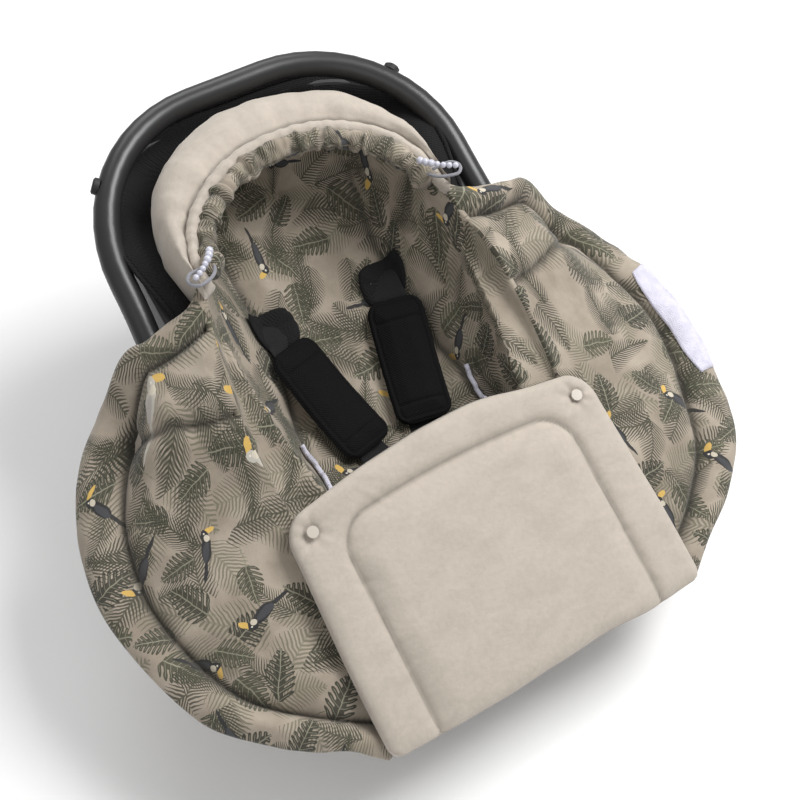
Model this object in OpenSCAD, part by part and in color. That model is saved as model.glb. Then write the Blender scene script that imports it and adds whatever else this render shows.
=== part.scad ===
/* [Seat shell] */
// Half width of the seat shell at its rim, outside
rim_half_w = 183; // [160:1:230]
// Distance from the pivots to the head end of the rim
rim_head_y = 296; // [260:1:345]
// Distance from the pivots to the foot end of the rim
rim_foot_y = 300; // [250:1:360]
// Height of the rim at the head end
rim_head_z = 324; // [310:1:326]
// Height of the rim beside the pivots
rim_side_z = 264; // [262:1:300]
// Height of the rim at the foot end
rim_foot_z = 112; // [104:1:125]
// Lowest height of the bucket's inner face
pan_z = 95; // [80:1:100]
// Slope of the backrest, in degrees
back_slope = 31; // [27:1:32]
// Wall of the bucket
bucket_wall = 4.5; // [3:0.5:6]
// Wall of the outer shell
hull_wall = 3.5; // [2:0.5:5]
// Share of the rim's size that the outer shell keeps at its underside
hull_taper = 0.62; // [0.5:0.01:0.75]

/* [Carry handle] */
// Height of the handle's pivots
pivot_z = 238; // [236:1:246]
// Diameter of the handle's tube
tube_d = 28; // [22:1:32]
// Distance from the pivots to the handle's crossbar
handle_reach = 304; // [295:1:380]
// Radius of the handle's corners
handle_corner_r = 156; // [110:1:160]
// How far the crossbar bows towards the shell
handle_bow = 62; // [40:1:64]
// Angle of the handle behind upright, in degrees
handle_lean = 52.5; // [46:0.5:53]
// Radius of each handle hub
hub_r = 31; // [28:1:32]
// Width of each handle hub
hub_w = 28; // [26:1:32]
// Radius of each pivot pin
pin_r = 6; // [4:0.5:8]
// Radial running clearance of the hubs on their pins
pin_clearance = 0.05; // [0.02:0.01:0.1]

/* [Harness] */
// Width of the harness webbing
web_w = 38; // [30:1:42]
// Thickness of the harness webbing
web_t = 1.6; // [1.2:0.1:2]
// Length of a shoulder pad
pad_l = 128; // [100:1:135]
// Width of a shoulder pad
pad_w = 58; // [50:1:64]
// Thickness of a shoulder pad
pad_t = 10; // [6:0.5:12]
// Distance from the middle to a shoulder slot
slot_x = 68; // [55:1:76]
// Distance from the pivots to the shoulder slots
slot_y = 52; // [40:1:60]
// Size of the buckle: width, length and thickness
buckle_size = [54, 62, 24]; // [20:1:70]
// Travel of the buckle's release button
buckle_travel = 3; // [2:0.5:3.5]

/* [Padded wrap] */
// Thickness of the foam liner
foam_t = 19; // [15:1:24]
// Thickness of the seat's fabric cover
cover_t = 5; // [3:0.5:8]
// Thickness of the wrap's padding
wrap_t = 15; // [12:1:18]
// How far the wings reach past the shell's side
wing_reach = 160; // [120:1:180]
// Distance from the pivots to the foot end of the wings
wing_foot_y = 350; // [330:1:370]
// Width of the foot flap
flap_w = 376; // [330:1:400]
// Length of the foot flap from its fold to its free edge
flap_l = 252; // [210:1:265]
// Thickness of the foot flap
flap_t = 20; // [14:1:24]
// Slope of the foot flap, in degrees
flap_slope = 26; // [25:1:28]
// Half width of the hood's opening
hood_half_w = 133; // [110:1:140]
// Depth of the hood's opening from its ends to its middle
hood_depth = 102; // [90:1:120]

/* [Hidden] */

gap = 0.4;                       // clearance between pieces that lie together
layer_gap = 1.6;                 // clearance between the bucket's nested layers
side = 0.6;                      // clearance where a piece slides in another
head_power = 3.4;                // squareness of the rim's outline at the head end
foot_power = 2.8;                // and at the foot end
rim_mid_y = 120;                 // where the rim is widest
wall_power = 5;                  // how steeply the bucket's sides stand up
round_steps = 48;                // points round the bucket and the outer shell
trim_h = 7;                      // height of the rim's trim above both shells
foot_h = 3;                      // thickness of the bottom cover and the feet

// ---- small helpers -------------------------------------------------------

function unit(v) = v / norm(v);
function mix(a, b, t) = a + (b - a) * t;
function signed_power(v, p) = sign(v) * pow(abs(v), p);
function clamp01(t) = min(1, max(0, t));
function smooth(t) = let (c = clamp01(t)) c * c * (3 - 2 * c);

// Faces between two rings of n points, clockwise seen from outside when ring b is
// further along the sweep than ring a and the points turn to the left.
function ring_faces(a, b, n) = [
    for (j = [0:n - 1]) let (k = (j + 1) % n) each [[a + j, b + j, b + k], [a + j, b + k, a + k]]
];

// Points of a 2D profile carried along a path, with "up" as the profile's first axis.
function sweep_ring(p, i, profile, up, closed) =
    let (n = len(p),
         before = closed ? p[(i + n - 1) % n] : p[max(i - 1, 0)],
         after = closed ? p[(i + 1) % n] : p[min(i + 1, n - 1)],
         t = unit(after - before),
         u = is_list(up[0]) ? up[i] : up,
         a = unit(u - (u * t) * t),
         b = cross(t, a))
    [for (q = profile) p[i] + q[0] * a + q[1] * b];

module sweep(p, profile, up, closed = false) {
    n = len(profile);
    m = len(p);
    points = [for (i = [0:m - 1]) each sweep_ring(p, i, profile, up, closed)];
    walls = [for (i = [0:m - 2]) each ring_faces(i * n, (i + 1) * n, n)];
    joint = closed ? ring_faces((m - 1) * n, 0, n) : [];
    caps = closed ? [] : [[for (j = [0:n - 1]) j], [for (j = [n - 1:-1:0]) (m - 1) * n + j]];
    polyhedron(points, concat(walls, joint, caps), convexity = 8);
}

function round_profile(d, n) = [for (j = [0:n - 1]) d / 2 * [cos(360 * j / n), sin(360 * j / n)]];
function flat_profile(w, t) = [[t / 2, -w / 2], [t / 2, w / 2], [-t / 2, w / 2], [-t / 2, -w / 2]];

// A solid between an upper and a lower grid of points with the same rows and columns.
module slab(top, low) {
    rows = len(top);
    cols = len(top[0]);
    count = rows * cols;
    edge = concat(
        [for (j = [0:cols - 1]) j],
        [for (i = [1:rows - 1]) i * cols + cols - 1],
        [for (j = [cols - 2:-1:0]) (rows - 1) * cols + j],
        [for (i = [rows - 2:-1:1]) i * cols]);
    faces = concat(
        [for (i = [0:rows - 2], j = [0:cols - 2]) let (a = i * cols + j)
            each [[a, a + cols + 1, a + 1], [a, a + cols, a + cols + 1]]],
        [for (i = [0:rows - 2], j = [0:cols - 2]) let (a = count + i * cols + j)
            each [[a, a + 1, a + cols + 1], [a, a + cols + 1, a + cols]]],
        [for (i = [0:len(edge) - 1]) let (a = edge[i], b = edge[(i + 1) % len(edge)])
            each [[a, b, b + count], [a, b + count, a + count]]]);
    polyhedron(concat([for (r = top) each r], [for (r = low) each r]), faces, convexity = 8);
}

module both_sides(left) {
    if (left) mirror([1, 0, 0]) children();
    else children();
}

// ---- shape of the shell --------------------------------------------------

rim_head_l = rim_head_y - rim_mid_y;
rim_foot_l = rim_foot_y + rim_mid_y;

function rim_z(y) = y >= 0
    ? rim_side_z + (rim_head_z - rim_side_z) * (1 - pow(1 - min(1, y / rim_head_y), 3.3))
    : rim_side_z - (rim_side_z - rim_foot_z) * pow(min(1, -y / rim_foot_y), 1.05);

// Height of the bucket's inner face along its middle.
back_start_y = -60;
pan_blend = 35;
function soft_rise(d) = pan_blend * ln(1 + exp(d / pan_blend));
function pan_height(y) = pan_z + tan(back_slope) * min(soft_rise(y - back_start_y), 405)
    + 6 * pow(clamp01((-120 - y) / 180), 2);

// A point of the rim's outline drawn in by "inset", at angle a from its widest point.
function outline(inset, a) =
    let (power = 2 / (sin(a) > 0 ? head_power : foot_power),
         reach = (sin(a) > 0 ? rim_head_l : rim_foot_l) - inset)
    [(rim_half_w - inset) * signed_power(cos(a), power), reach * signed_power(sin(a), power)];
bucket_inset = hull_wall + bucket_wall + gap;
// A point on the bucket's inner face, lifted by the height "lift", at angle a and share s
// of the way out to the rim.
function bucket_point(lift, a, s) =
    let (o = outline(bucket_inset + lift, a),
         x = o[0] * s,
         y = rim_mid_y + o[1] * s,
         y_rim = rim_mid_y + outline(0, a)[1],
         wall_h = max(0, rim_z(y_rim) - pan_height(y_rim) - lift))
    [x, y, pan_height(y) + lift + wall_h * pow(s, wall_power)];

// A bowl between two lifts, out to the share "reach" of the rim.
bowl_shares = [0.16, 0.34, 0.5, 0.64, 0.76, 0.86, 0.93, 0.98, 1];
module bowl(low_lift, top_lift, reach) {
    shares = [for (t = bowl_shares) if (t <= reach) t];
    n = round_steps;
    m = len(shares);
    function rings(lift) = [for (s = shares, j = [0:n - 1]) bucket_point(lift, 360 * j / n, s)];
    points = concat([bucket_point(low_lift, 0, 0)], rings(low_lift), rings(top_lift),
                    [bucket_point(top_lift, 0, 0)]);
    top = 1 + m * n;
    last = 1 + 2 * m * n;
    faces = concat(
        [for (j = [0:n - 1]) [0, 1 + j, 1 + (j + 1) % n]],
        [for (i = [0:m - 2]) each ring_faces(1 + i * n, 1 + (i + 1) * n, n)],
        ring_faces(1 + (m - 1) * n, top + (m - 1) * n, n),
        [for (i = [m - 1:-1:1]) each ring_faces(top + i * n, top + (i - 1) * n, n)],
        [for (j = [0:n - 1]) [last, top + (j + 1) % n, top + j]]);
    polyhedron(points, faces, convexity = 8);
}

// The slots that the harness passes through, square to the backrest.
slot_w = web_w + 5;
slot_h = 9;
back_normal = [0, -sin(back_slope), cos(back_slope)];
layers_t = foam_t + cover_t + wrap_t + 3 * layer_gap;
slot_mouth = [slot_x, slot_y, pan_height(slot_y) + layers_t];
crotch_y = -190;
module harness_slots() {
    for (s = [-1, 1])
        translate([s * slot_mouth[0], slot_mouth[1], slot_mouth[2]])
            rotate([back_slope, 0, 0])
                cube([slot_w, slot_h, 4 * layers_t], center = true);
    translate([0, crotch_y, pan_z]) cube([slot_w, slot_h, 5 * layers_t], center = true);
}

module seat_shell() color("#1c1b1c") difference() {
    bowl(-bucket_wall, 0, 1);
    harness_slots();
}

module foam_liner() color("#d9d9d4") difference() {
    bowl(layer_gap, foam_t, 0.93);
    harness_slots();
}

module seat_cover() color("#141314") difference() {
    bowl(foam_t + layer_gap, foam_t + cover_t + layer_gap, 0.98);
    harness_slots();
}

module wrap_back() color("#9c9482") difference() {
    bowl(foam_t + cover_t + 3 * layer_gap, layers_t, 0.98);
    harness_slots();
}

// The outer shell: from the rim down to a flat underside that curves up at its ends.
underside_flat = 110;
underside_mid_y = 50;
function underside_z(y) = foot_h + gap / 2 + pow(max(0, abs(y) - underside_flat), 2) / 850;
function hull_point(inset, a, t) =
    let (o = outline(inset, a),
         k = 1 - (1 - hull_taper) * pow(t, 2.4),
         x = o[0] * k,
         y = mix(rim_mid_y, underside_mid_y, t * t) + o[1] * k,
         y_rim = rim_mid_y + outline(0, a)[1])
    [x, y, mix(rim_z(y_rim), underside_z(y) + inset, t)];
function hull_floor_point(inset, a, s) =
    let (p = hull_point(inset, a, 1),
         x = p[0] * s,
         y = mix(underside_mid_y, p[1], s))
    [x, y, underside_z(y) + inset];

module outer_shell() {
    n = round_steps;
    levels = [for (i = [0:8]) i / 8];
    floors = [0.72, 0.4];
    m = len(levels) + len(floors);
    function rings(inset) = concat(
        [for (t = levels, j = [0:n - 1]) hull_point(inset, 360 * j / n, t)],
        [for (s = floors, j = [0:n - 1]) hull_floor_point(inset, 360 * j / n, s)]);
    points = concat(rings(0), [hull_floor_point(0, 0, 0)],
                    rings(hull_wall), [hull_floor_point(hull_wall, 0, 0)]);
    inner = m * n + 1;
    faces = concat(
        [for (i = [m - 1:-1:1]) each ring_faces(i * n, (i - 1) * n, n)],
        [for (j = [0:n - 1]) [m * n, (m - 1) * n + j, (m - 1) * n + (j + 1) % n]],
        ring_faces(0, inner, n),
        [for (i = [0:m - 2]) each ring_faces(inner + i * n, inner + (i + 1) * n, n)],
        [for (j = [0:n - 1]) [inner + m * n, inner + (m - 1) * n + (j + 1) % n, inner + (m - 1) * n + j]]);
    color("#19181a") polyhedron(points, faces, convexity = 8);
}

// The trim that closes the joint between both shells, all round the rim.
module rim_trim() color("#232224") {
    inset = (hull_wall + bucket_wall) / 2;
    n = round_steps;
    path = [for (j = [0:n - 1]) let (a = 360 * j / n, o = outline(inset, a))
        [o[0], rim_mid_y + o[1], rim_z(rim_mid_y + outline(0, a)[1]) + trim_h / 2 + 3 * gap]];
    half_h = trim_h / 2 - gap / 2;
    half_w = inset + 1;
    sweep(path, [[-half_h, -half_w], [half_h * 0.4, -half_w], [half_h, -half_w * 0.5],
                 [half_h, half_w * 0.5], [half_h * 0.4, half_w], [-half_h, half_w]],
          [0, 0, 1], closed = true);
}

cover_w = 190;
cover_l = 176;
screw_r = 4.5;
screw_inset = 14;
module plate_corners(w, l) {
    for (x = [-w / 2, w / 2], y = [-l / 2, l / 2]) translate([x, y, 0]) children();
}

module bottom_cover() color("#2a292b") difference() {
    linear_extrude(foot_h) difference() {
        square([cover_w, cover_l], center = true);
        plate_corners(cover_w, cover_l) rotate(45) square(16, center = true);
    }
    plate_corners(cover_w - 2 * screw_inset, cover_l - 2 * screw_inset)
        translate([0, 0, -1]) cylinder(h = foot_h + 2, r = screw_r + side / 2, $fn = 32);
}

module bottom_screws() color("#8d8f92")
    plate_corners(cover_w - 2 * screw_inset, cover_l - 2 * screw_inset)
        translate([0, 0, 0.8]) difference() {
            cylinder(h = foot_h - 0.8, r = screw_r, $fn = 32);
            translate([0, 0, -0.4]) cylinder(h = 1.6, r = 2, $fn = 6);
        }

foot_size = [16, 70];
module rubber_feet() color("#101010")
    for (s = [-1, 1])
        translate([s * (cover_w / 2 + 9), 0, 0])
            linear_extrude(foot_h)
                hull() for (e = [-1, 1]) translate([0, e * (foot_size[1] - foot_size[0]) / 2])
                    circle(d = foot_size[0], $fn = 32);

// ---- carry handle --------------------------------------------------------

hub_x = rim_half_w + 11;                      // inner face of each hub
tube_x = hub_x + hub_w / 2;                   // the tube's centre line at the hubs
tube_top_x = tube_x - 7;                      // and where its corners begin
cavity_r = 23;                                // hollow of each hub, round its lock gear
corner_v = handle_reach - handle_corner_r;    // reach at which the corners begin

// A point of the handle's plane: x across, v up the handle. The handle bows with v.
function handle_point(x, v) =
    let (off = handle_bow * pow(v / handle_reach, 2))
    [x, v * sin(handle_lean) + off * cos(handle_lean),
     pivot_z + v * cos(handle_lean) - off * sin(handle_lean)];
handle_half = concat(
    [for (i = [0:6]) handle_point(mix(tube_x, tube_top_x, sin(15 * i)), mix(cavity_r + 2, corner_v, i / 6))],
    [for (a = [7.5:7.5:90]) handle_point(tube_top_x - handle_corner_r * (1 - cos(a)),
                                         corner_v + handle_corner_r * sin(a))]);
handle_path = concat(
    handle_half,
    [handle_point(0, handle_reach)],
    [for (i = [len(handle_half) - 1:-1:0]) [-handle_half[i][0], handle_half[i][1], handle_half[i][2]]]);

// Places something on the handle's corner, with +Z pointing out of the tube.
button_angle = 38;
button_r = 9;
button_travel = 4;
module at_button(left) both_sides(left) {
    at = handle_point(tube_top_x - handle_corner_r * (1 - cos(button_angle)),
                      corner_v + handle_corner_r * sin(button_angle));
    ahead = handle_point(tube_top_x - handle_corner_r * (1 - cos(button_angle + 1)),
                         corner_v + handle_corner_r * sin(button_angle + 1));
    tangent = unit(ahead - at);
    side_way = unit(cross(tangent, [0, -cos(handle_lean), sin(handle_lean)]));
    outward = side_way[0] > 0 ? side_way : -side_way;
    multmatrix([[outward[0] == 0 ? 1 : cross(tangent, outward)[0], tangent[0], outward[0], at[0]],
                [cross(tangent, outward)[1], tangent[1], outward[1], at[1]],
                [cross(tangent, outward)[2], tangent[2], outward[2], at[2]],
                [0, 0, 0, 1]]) children();
}

module handle_tube() color("#4b4b4d") difference() {
    sweep(handle_path, round_profile(tube_d, 24), [0, -cos(handle_lean), sin(handle_lean)]);
    for (left = [false, true])
        at_button(left) translate([0, 0, tube_d / 2 - button_travel - 3])
            cylinder(h = 20, r = button_r + side / 2, $fn = 48);
}

module handle_button(left) color("#161616") at_button(left)
    translate([0, 0, tube_d / 2 - 2.4]) {
        cylinder(h = 5.4, r = button_r, $fn = 48);
        translate([0, 0, 5.4]) cylinder(h = 1.6, r1 = button_r, r2 = button_r - 2, $fn = 48);
    }

module along_x(x) translate([x, 0, pivot_z]) rotate([0, 90, 0]) children();

cavity_x = hub_x + 6;
cavity_w = hub_w - 6;
module hub(left) color("#3f3f41") both_sides(left) difference() {
    along_x(hub_x) cylinder(h = hub_w, r = hub_r, $fn = 72);
    along_x(hub_x - 1) cylinder(h = hub_w, r = pin_r + pin_clearance, $fn = 48);
    along_x(cavity_x) cylinder(h = cavity_w + 1, r = cavity_r, $fn = 72);
}

module hub_cap(left) color("#2d2d2f") both_sides(left) {
    along_x(hub_x + hub_w + gap) cylinder(h = 3, r = hub_r, $fn = 72);
    along_x(hub_x + hub_w + gap - 2.4) cylinder(h = 3, r = cavity_r - side / 2, $fn = 72);
}

boss_x = rim_half_w - 6;
module pivot_boss(left) color("#2a2a2c") both_sides(left) difference() {
    along_x(boss_x) cylinder(h = hub_x - boss_x - gap, r = hub_r - 9, $fn = 72);
    along_x(boss_x - 1) cylinder(h = hub_w, r = pin_r, $fn = 48);
}

module pivot_pin(left) color("#a5a7aa") both_sides(left)
    along_x(boss_x + 1) cylinder(h = hub_x - boss_x + hub_w - 7, r = pin_r, $fn = 48);

// The lock gear slides on the pin. Its teeth stand in the hub's cavity.
gear_w = 6;
gear_travel = button_travel;
gear_x = cavity_x + cavity_w - gear_w - 4;
teeth = 12;
module lock_gear(left) color("#b9a25a") both_sides(left) difference() {
    along_x(gear_x) linear_extrude(gear_w) {
        circle(r = cavity_r - 5, $fn = 48);
        for (i = [0:teeth - 1]) rotate(360 * i / teeth)
            translate([cavity_r - 3.6, 0]) square([5.6, 5], center = true);
    }
    along_x(gear_x - 1) cylinder(h = gear_w + 2, r = pin_r + side, $fn = 48);
}

spring_wire = 1.6;
module lock_spring(left) color("#9a9c9f") both_sides(left) {
    room = gear_x - cavity_x - 0.6 - spring_wire;
    turns = 3;
    sweep([for (i = [0:turns * 12]) let (a = 30 * i)
              [cavity_x + 0.3 + spring_wire / 2 + room * i / (turns * 12),
               (pin_r + 4) * cos(a), pivot_z + (pin_r + 4) * sin(a)]],
          round_profile(spring_wire, 8), [1, 0, 0]);
}

// ---- belt guides and adapter sockets -------------------------------------

guide_l = 54;
guide_y = -84;
module belt_guide(left) color("#1f3f8f") both_sides(left) {
    z_top = rim_z(guide_y) - 8;
    translate([rim_half_w - 1, guide_y + guide_l / 2, z_top])
        rotate([90, 0, 0]) linear_extrude(guide_l)
            polygon([[0, 0], [20, 0], [20, -40], [15, -40], [15, -6], [5, -8], [5, -46], [0, -46]]);
}

module rear_belt_guide() color("#1f3f8f") {
    z_top = rim_head_z - 70;
    translate([-45, rim_head_y - 10, z_top])
        rotate([90, 0, 90]) linear_extrude(90)
            polygon([[0, 0], [26, 0], [26, 34], [21, 34], [21, 6], [0, 8]]);
}

socket_y = -8;
socket_z = 158;
socket_size = [22, 46, 34];
module adapter_socket(left) color("#242326") both_sides(left) difference() {
    translate([rim_half_w - 12, socket_y - socket_size[1] / 2, socket_z - socket_size[2] / 2])
        cube(socket_size);
    translate([rim_half_w - 4, socket_y - 14, socket_z - socket_size[2] / 2 - 1])
        cube([9, 28, socket_size[2] + 2 - 4]);
}

// ---- harness -------------------------------------------------------------

web_lift = 1.2;
function surface_z(y) = pan_height(y) + layers_t;
pad_top = [slot_x - 2, slot_y - 14];
pad_low = pad_top - [pad_l / 4, pad_l];
function on_surface(x, y, lift) = [x, y, surface_z(y) + lift];
function pad_path_point(t, lift) =
    on_surface(mix(pad_top[0], pad_low[0], t), mix(pad_top[1], pad_low[1], t), lift);
back_point = slot_mouth - (layers_t + bucket_wall + 26) * back_normal;
yoke_at = [0, slot_y + 66, back_point[2] - 36];
yoke_end = yoke_at + [14, 8, 8];
through = [0, 0.9, 0.5];
module shoulder_strap(left) color("#181818") both_sides(left)
    sweep([yoke_end, mix(yoke_end, back_point, 0.6), back_point,
           mix(back_point, slot_mouth, 0.5), slot_mouth, slot_mouth + [0, -4, 7],
           pad_path_point(0, web_lift + 6), pad_path_point(0.25, web_lift + 5), pad_path_point(0.5, web_lift + 4),
           pad_path_point(0.75, web_lift + 3), pad_path_point(1, web_lift + 3), [26, -122, surface_z(-122) + 7],
           [22, buckle_y + buckle_size[1] / 2 + 12, buckle_at[2] + 5]],
          flat_profile(web_w - 4, web_t),
          [through, through, through, through, through, [-0.2, 0.5, 1],
           pad_up(0), pad_up(0.25), pad_up(0.5), pad_up(0.75), pad_up(1), [0, 0, 1], [0, 0, 1]]);

pad_lean = [-0.2, 0, 1];
function pad_up(t) = mix(pad_lean, [-0.08, 0, 1], t);
module shoulder_pad(left) color("#121212") both_sides(left) {
    lift = web_lift + web_t / 2 + pad_t / 2 + 6;
    steps = [for (t = [0.02:0.16:1]) t];
    sweep([for (t = steps) pad_path_point(t, lift + 5 * (1 - t))],
          [[-pad_t / 2, -pad_w / 2 + 2], [-pad_t / 4, -pad_w / 2], [pad_t / 4, -pad_w / 2], [pad_t / 2, -pad_w / 2 + 4],
           [pad_t / 2, pad_w / 2 - 4], [pad_t / 4, pad_w / 2], [-pad_t / 4, pad_w / 2], [-pad_t / 2, pad_w / 2 - 2]],
          [for (t = steps) pad_up(t)]);
}

module yoke_plate() color("#a5a7aa") translate(yoke_at) difference() {
    translate([-37, -6, -3]) cube([74, 3, 26]);
    for (s = [-1, 1]) translate([s * 18 - 12, -8, 8]) cube([24, 8, 4]);
}

buckle_y = -192;
buckle_at = [0, buckle_y, surface_z(buckle_y) + 20];
button_size = [24, 20, 7];
module buckle_body() color("#1b1b1b") translate(buckle_at) difference() {
    rotate([90, 0, 0]) linear_extrude(buckle_size[1], center = true)
        hull() for (x = [-1, 1], z = [-1, 1])
            translate([x * (buckle_size[0] / 2 - 6), z * (buckle_size[2] / 2 - 6)]) circle(r = 6, $fn = 32);
    translate([0, -8, buckle_size[2] / 2 - button_size[2] / 2 + 1 - buckle_travel / 2])
        cube([button_size[0] + side, button_size[1] + side, button_size[2] + 2 + buckle_travel], center = true);
    for (s = [-1, 1]) translate([s * 11, buckle_size[1] / 2 - 9, 0]) cube([18, 19, 5], center = true);
}

module buckle_button() color("#b3221c")
    translate(buckle_at + [0, -8, buckle_size[2] / 2 - button_size[2] / 2 + 1.5])
        cube(button_size, center = true);

module tongue(left) color("#c3c5c8") both_sides(left)
    translate(buckle_at + [11, buckle_size[1] / 2, 0]) {
        translate([0, -7, 0]) cube([16, 17, 3], center = true);
        difference() {
            translate([4, 8, 0]) cube([40 - 16, 14, 3], center = true);
            translate([4, 10, 0]) cube([18, 4, 5], center = true);
        }
    }

lap_y = buckle_y + buckle_size[1] / 2 - 4;
module lap_strap(left) color("#181818") both_sides(left)
    sweep([for (q = [[34, 20], [50, 15], [66, 16], [80, 24], [90, 38]])
               [q[0], lap_y, surface_z(lap_y) + q[1]]],
          flat_profile(web_w - 12, web_t),
          [[0, 0, 1], [0, 0, 1], [0, 0, 1], [-0.7, 0, 1], [-1, 0, 0.5]]);

module crotch_strap() color("#181818")
    sweep([[0, crotch_y, pan_z - 16], [0, crotch_y, pan_z + 20], [0, crotch_y, surface_z(crotch_y) - 6],
           [0, crotch_y, buckle_at[2] - buckle_size[2] / 2 - gap]],
          flat_profile(web_w, web_t), [0, 1, 0]);

adjuster_y = -250;
module adjuster_housing() color("#1d1d1f") difference() {
    translate([-24, adjuster_y - 20, surface_z(adjuster_y) + 1]) cube([48, 40, 15]);
    translate([-14 - side / 2, adjuster_y - 12, surface_z(adjuster_y) + 6]) cube([28 + side, 20, 12]);
    translate([-20, adjuster_y - 22, surface_z(adjuster_y) + 2]) cube([40, 12, 3]);
}

adjuster_travel = 3;
module adjuster_button() color("#77797c")
    translate([-14, adjuster_y - 11.7, surface_z(adjuster_y) + 6 + adjuster_travel + 0.5])
        cube([28, 19.4, 8]);

module adjuster_strap() color("#181818")
    sweep([[0, adjuster_y - 11, surface_z(adjuster_y) + 3.5], [0, adjuster_y - 23, surface_z(adjuster_y) + 3.5],
           [0, adjuster_y - 31, surface_z(adjuster_y - 31) + 2.6], [0, adjuster_y - 38, surface_z(adjuster_y - 38) + 1.8]],
          flat_profile(web_w - 2, web_t), [0, 0, 1]);

// ---- padded wrap ---------------------------------------------------------

// Height of the wings' upper face beside the rim, and how far it falls outwards.
wing_over_hub = 9;               // room between the wings' padding and the hubs
wing_crest_z = max(rim_side_z + 15, pivot_z + hub_r + wing_over_hub) + wrap_t;
function wing_root_z(y) = wing_crest_z + (y >= 0 ? 0.6 : 0.5) * y;
// Half width of the rim at y, and the height that keeps the padding clear of the rim's trim.
function rim_half(y) = rim_half_w * pow(
    max(0, 1 - pow(abs(y - rim_mid_y) / (rim_mid_y + rim_foot_y), foot_power)), 1 / foot_power);
function wing_floor(x, y) = rim_z(y) + trim_h + 3 * gap + wrap_t - 0.9 * max(0, x - rim_half(y) - trim_w);
function wing_drop(y) = mix(18, 122, smooth((y + 330) / 390));
trim_w = 6;                      // how far the rim's trim stands out from the rim
wing_head_y = 60;
wing_root_x = rim_half_w - 30;
wing_mid_y = (wing_head_y - wing_foot_y) / 2;
wing_half_l = (wing_head_y + wing_foot_y) / 2;
wing_edge_x = rim_half_w + 17;
wing_fall_x = hub_x + hub_w + 8;
// Outer edge of a wing from its head end (a = 90) round to its foot end (a = -90).
function wing_edge(a) =
    let (p = a > 0 ? 2 / 2.8 : 2 / 1.65)
    [wing_edge_x + wing_reach * pow(max(0, cos(a)), p), wing_mid_y + wing_half_l * signed_power(sin(a), p)];
function wing_row(a) =
    let (e = wing_edge(a), root_y = wing_mid_y + (wing_half_l - 10) * sin(a))
    [for (u = [0, 0.14, 0.28, 0.44, 0.6, 0.76, 0.9, 1])
        let (x = mix(wing_root_x, e[0], u), y = mix(root_y, e[1], u),
             out = clamp01((x - wing_fall_x) / (wing_edge_x + wing_reach - wing_fall_x)))
        [x, y, max(wing_root_z(y) - wing_drop(y) * (1 - pow(1 - out, 1.7)), wing_floor(x, y))]];
function wing_thickness(u, a) = wrap_t * (0.45 + 0.55 * pow(clamp01(min((1 - u) * 3, (90 - abs(a)) / 18)), 0.6));

module wing(left) color("#9c9482") both_sides(left) {
    angles = [90, 84, 76, 66, 55, 44, 33, 22, 11, 0, -11, -22, -33, -44, -55, -66, -76, -84, -90];
    top = [for (a = angles) wing_row(a)];
    low = [for (i = [0:len(angles) - 1]) [for (j = [0:7])
        top[i][j] - [0, 0, wing_thickness(j / 7, angles[i])]]];
    slab(top, low);
}

// The hood: a padded arch round the head end. Angle a runs from the right end over the top.
hood_end_y = 62;
hood_end_z = 346;
hood_rise = 40;
function hood_lip(a) = [hood_half_w * cos(a), hood_end_y + hood_depth * sin(a), hood_end_z + hood_rise * sin(a)];
hood_section = [[-3, -14], [6, 2], [26, 8], [48, 2], [62, -18], [66, -40], [54, -44], [44, -30], [22, -14]];
function hood_ring(a) =
    let (out = [cos(a), sin(a), 0], fill = 0.3 + 0.7 * pow(max(0, sin(a)), 0.9), lip = hood_lip(a))
    [for (q = hood_section) lip + fill * q[0] * out + [0, 0, q[1] * mix(0.8, 1, sin(a))]];

module wrap_hood() color("#cdc5b9") {
    angles = [for (i = [0:24]) 7.5 * i];
    n = len(hood_section);
    m = len(angles);
    points = [for (a = angles) each hood_ring(a)];
    faces = concat(
        [for (i = [m - 1:-1:1]) each ring_faces(i * n, (i - 1) * n, n)],
        [[for (j = [n - 1:-1:0]) j], [for (j = [0:n - 1]) (m - 1) * n + j]]);
    polyhedron(points, faces, convexity = 8);
}

casing_d = 17;
module hood_casing() color("#9c9482")
    sweep([for (i = [0:24]) let (a = 7.5 * i)
              hood_lip(a) + [-11 * cos(a), -11 * sin(a), 6]],
          round_profile(casing_d, 12), [0, 0, 1]);

// Drawcord loops at the ends of the casing: the points of one loop, left and right mirrored.
cord_d = 3.6;
cord_route = [[124, 60, 362], [127, 52, 364], [133, 45, 366], [141, 41, 367], [149, 40, 367], [155, 45, 367],
              [156, 52, 367], [151, 58, 367], [144, 60, 366], [137, 61, 365], [131, 62, 363]];
module drawcord(left) color("#9b9ca3") both_sides(left)
    sweep(cord_route, round_profile(cord_d, 8), [0, 0, 1]);

module cord_stopper(left) color("#c9cad2") both_sides(left)
    translate([129, 61, 375]) sphere(r = 7, $fn = 24);

// The foot flap: folded up over the foot end, hinged at its fold.
fold_y = -378;
fold_z = 112;
module on_flap() translate([0, fold_y, fold_z]) rotate([flap_slope, 0, 0]) children();
module rounded_plate(w, l, r, h) linear_extrude(h)
    hull() for (x = [-1, 1], y = [r, l - r]) translate([x * (w / 2 - r), y]) circle(r = r, $fn = 48);

module foot_flap() color("#cdc5b9") on_flap() rounded_plate(flap_w, flap_l, 26, flap_t);

panel_w = flap_w * 0.68;
panel_l = flap_l * 0.8;
module flap_panel() color("#d3cbbf") on_flap()
    translate([0, flap_l * 0.09, flap_t + gap / 4]) rounded_plate(panel_w, panel_l, 24, 4);

snap_r = 6;
module snap_caps() color("#b9b2a6") on_flap()
    for (s = [-1, 1]) translate([s * (flap_w / 2 - 31), flap_l - 25, flap_t + gap / 4])
        cylinder(h = 2.4, r = snap_r, $fn = 32);

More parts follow.
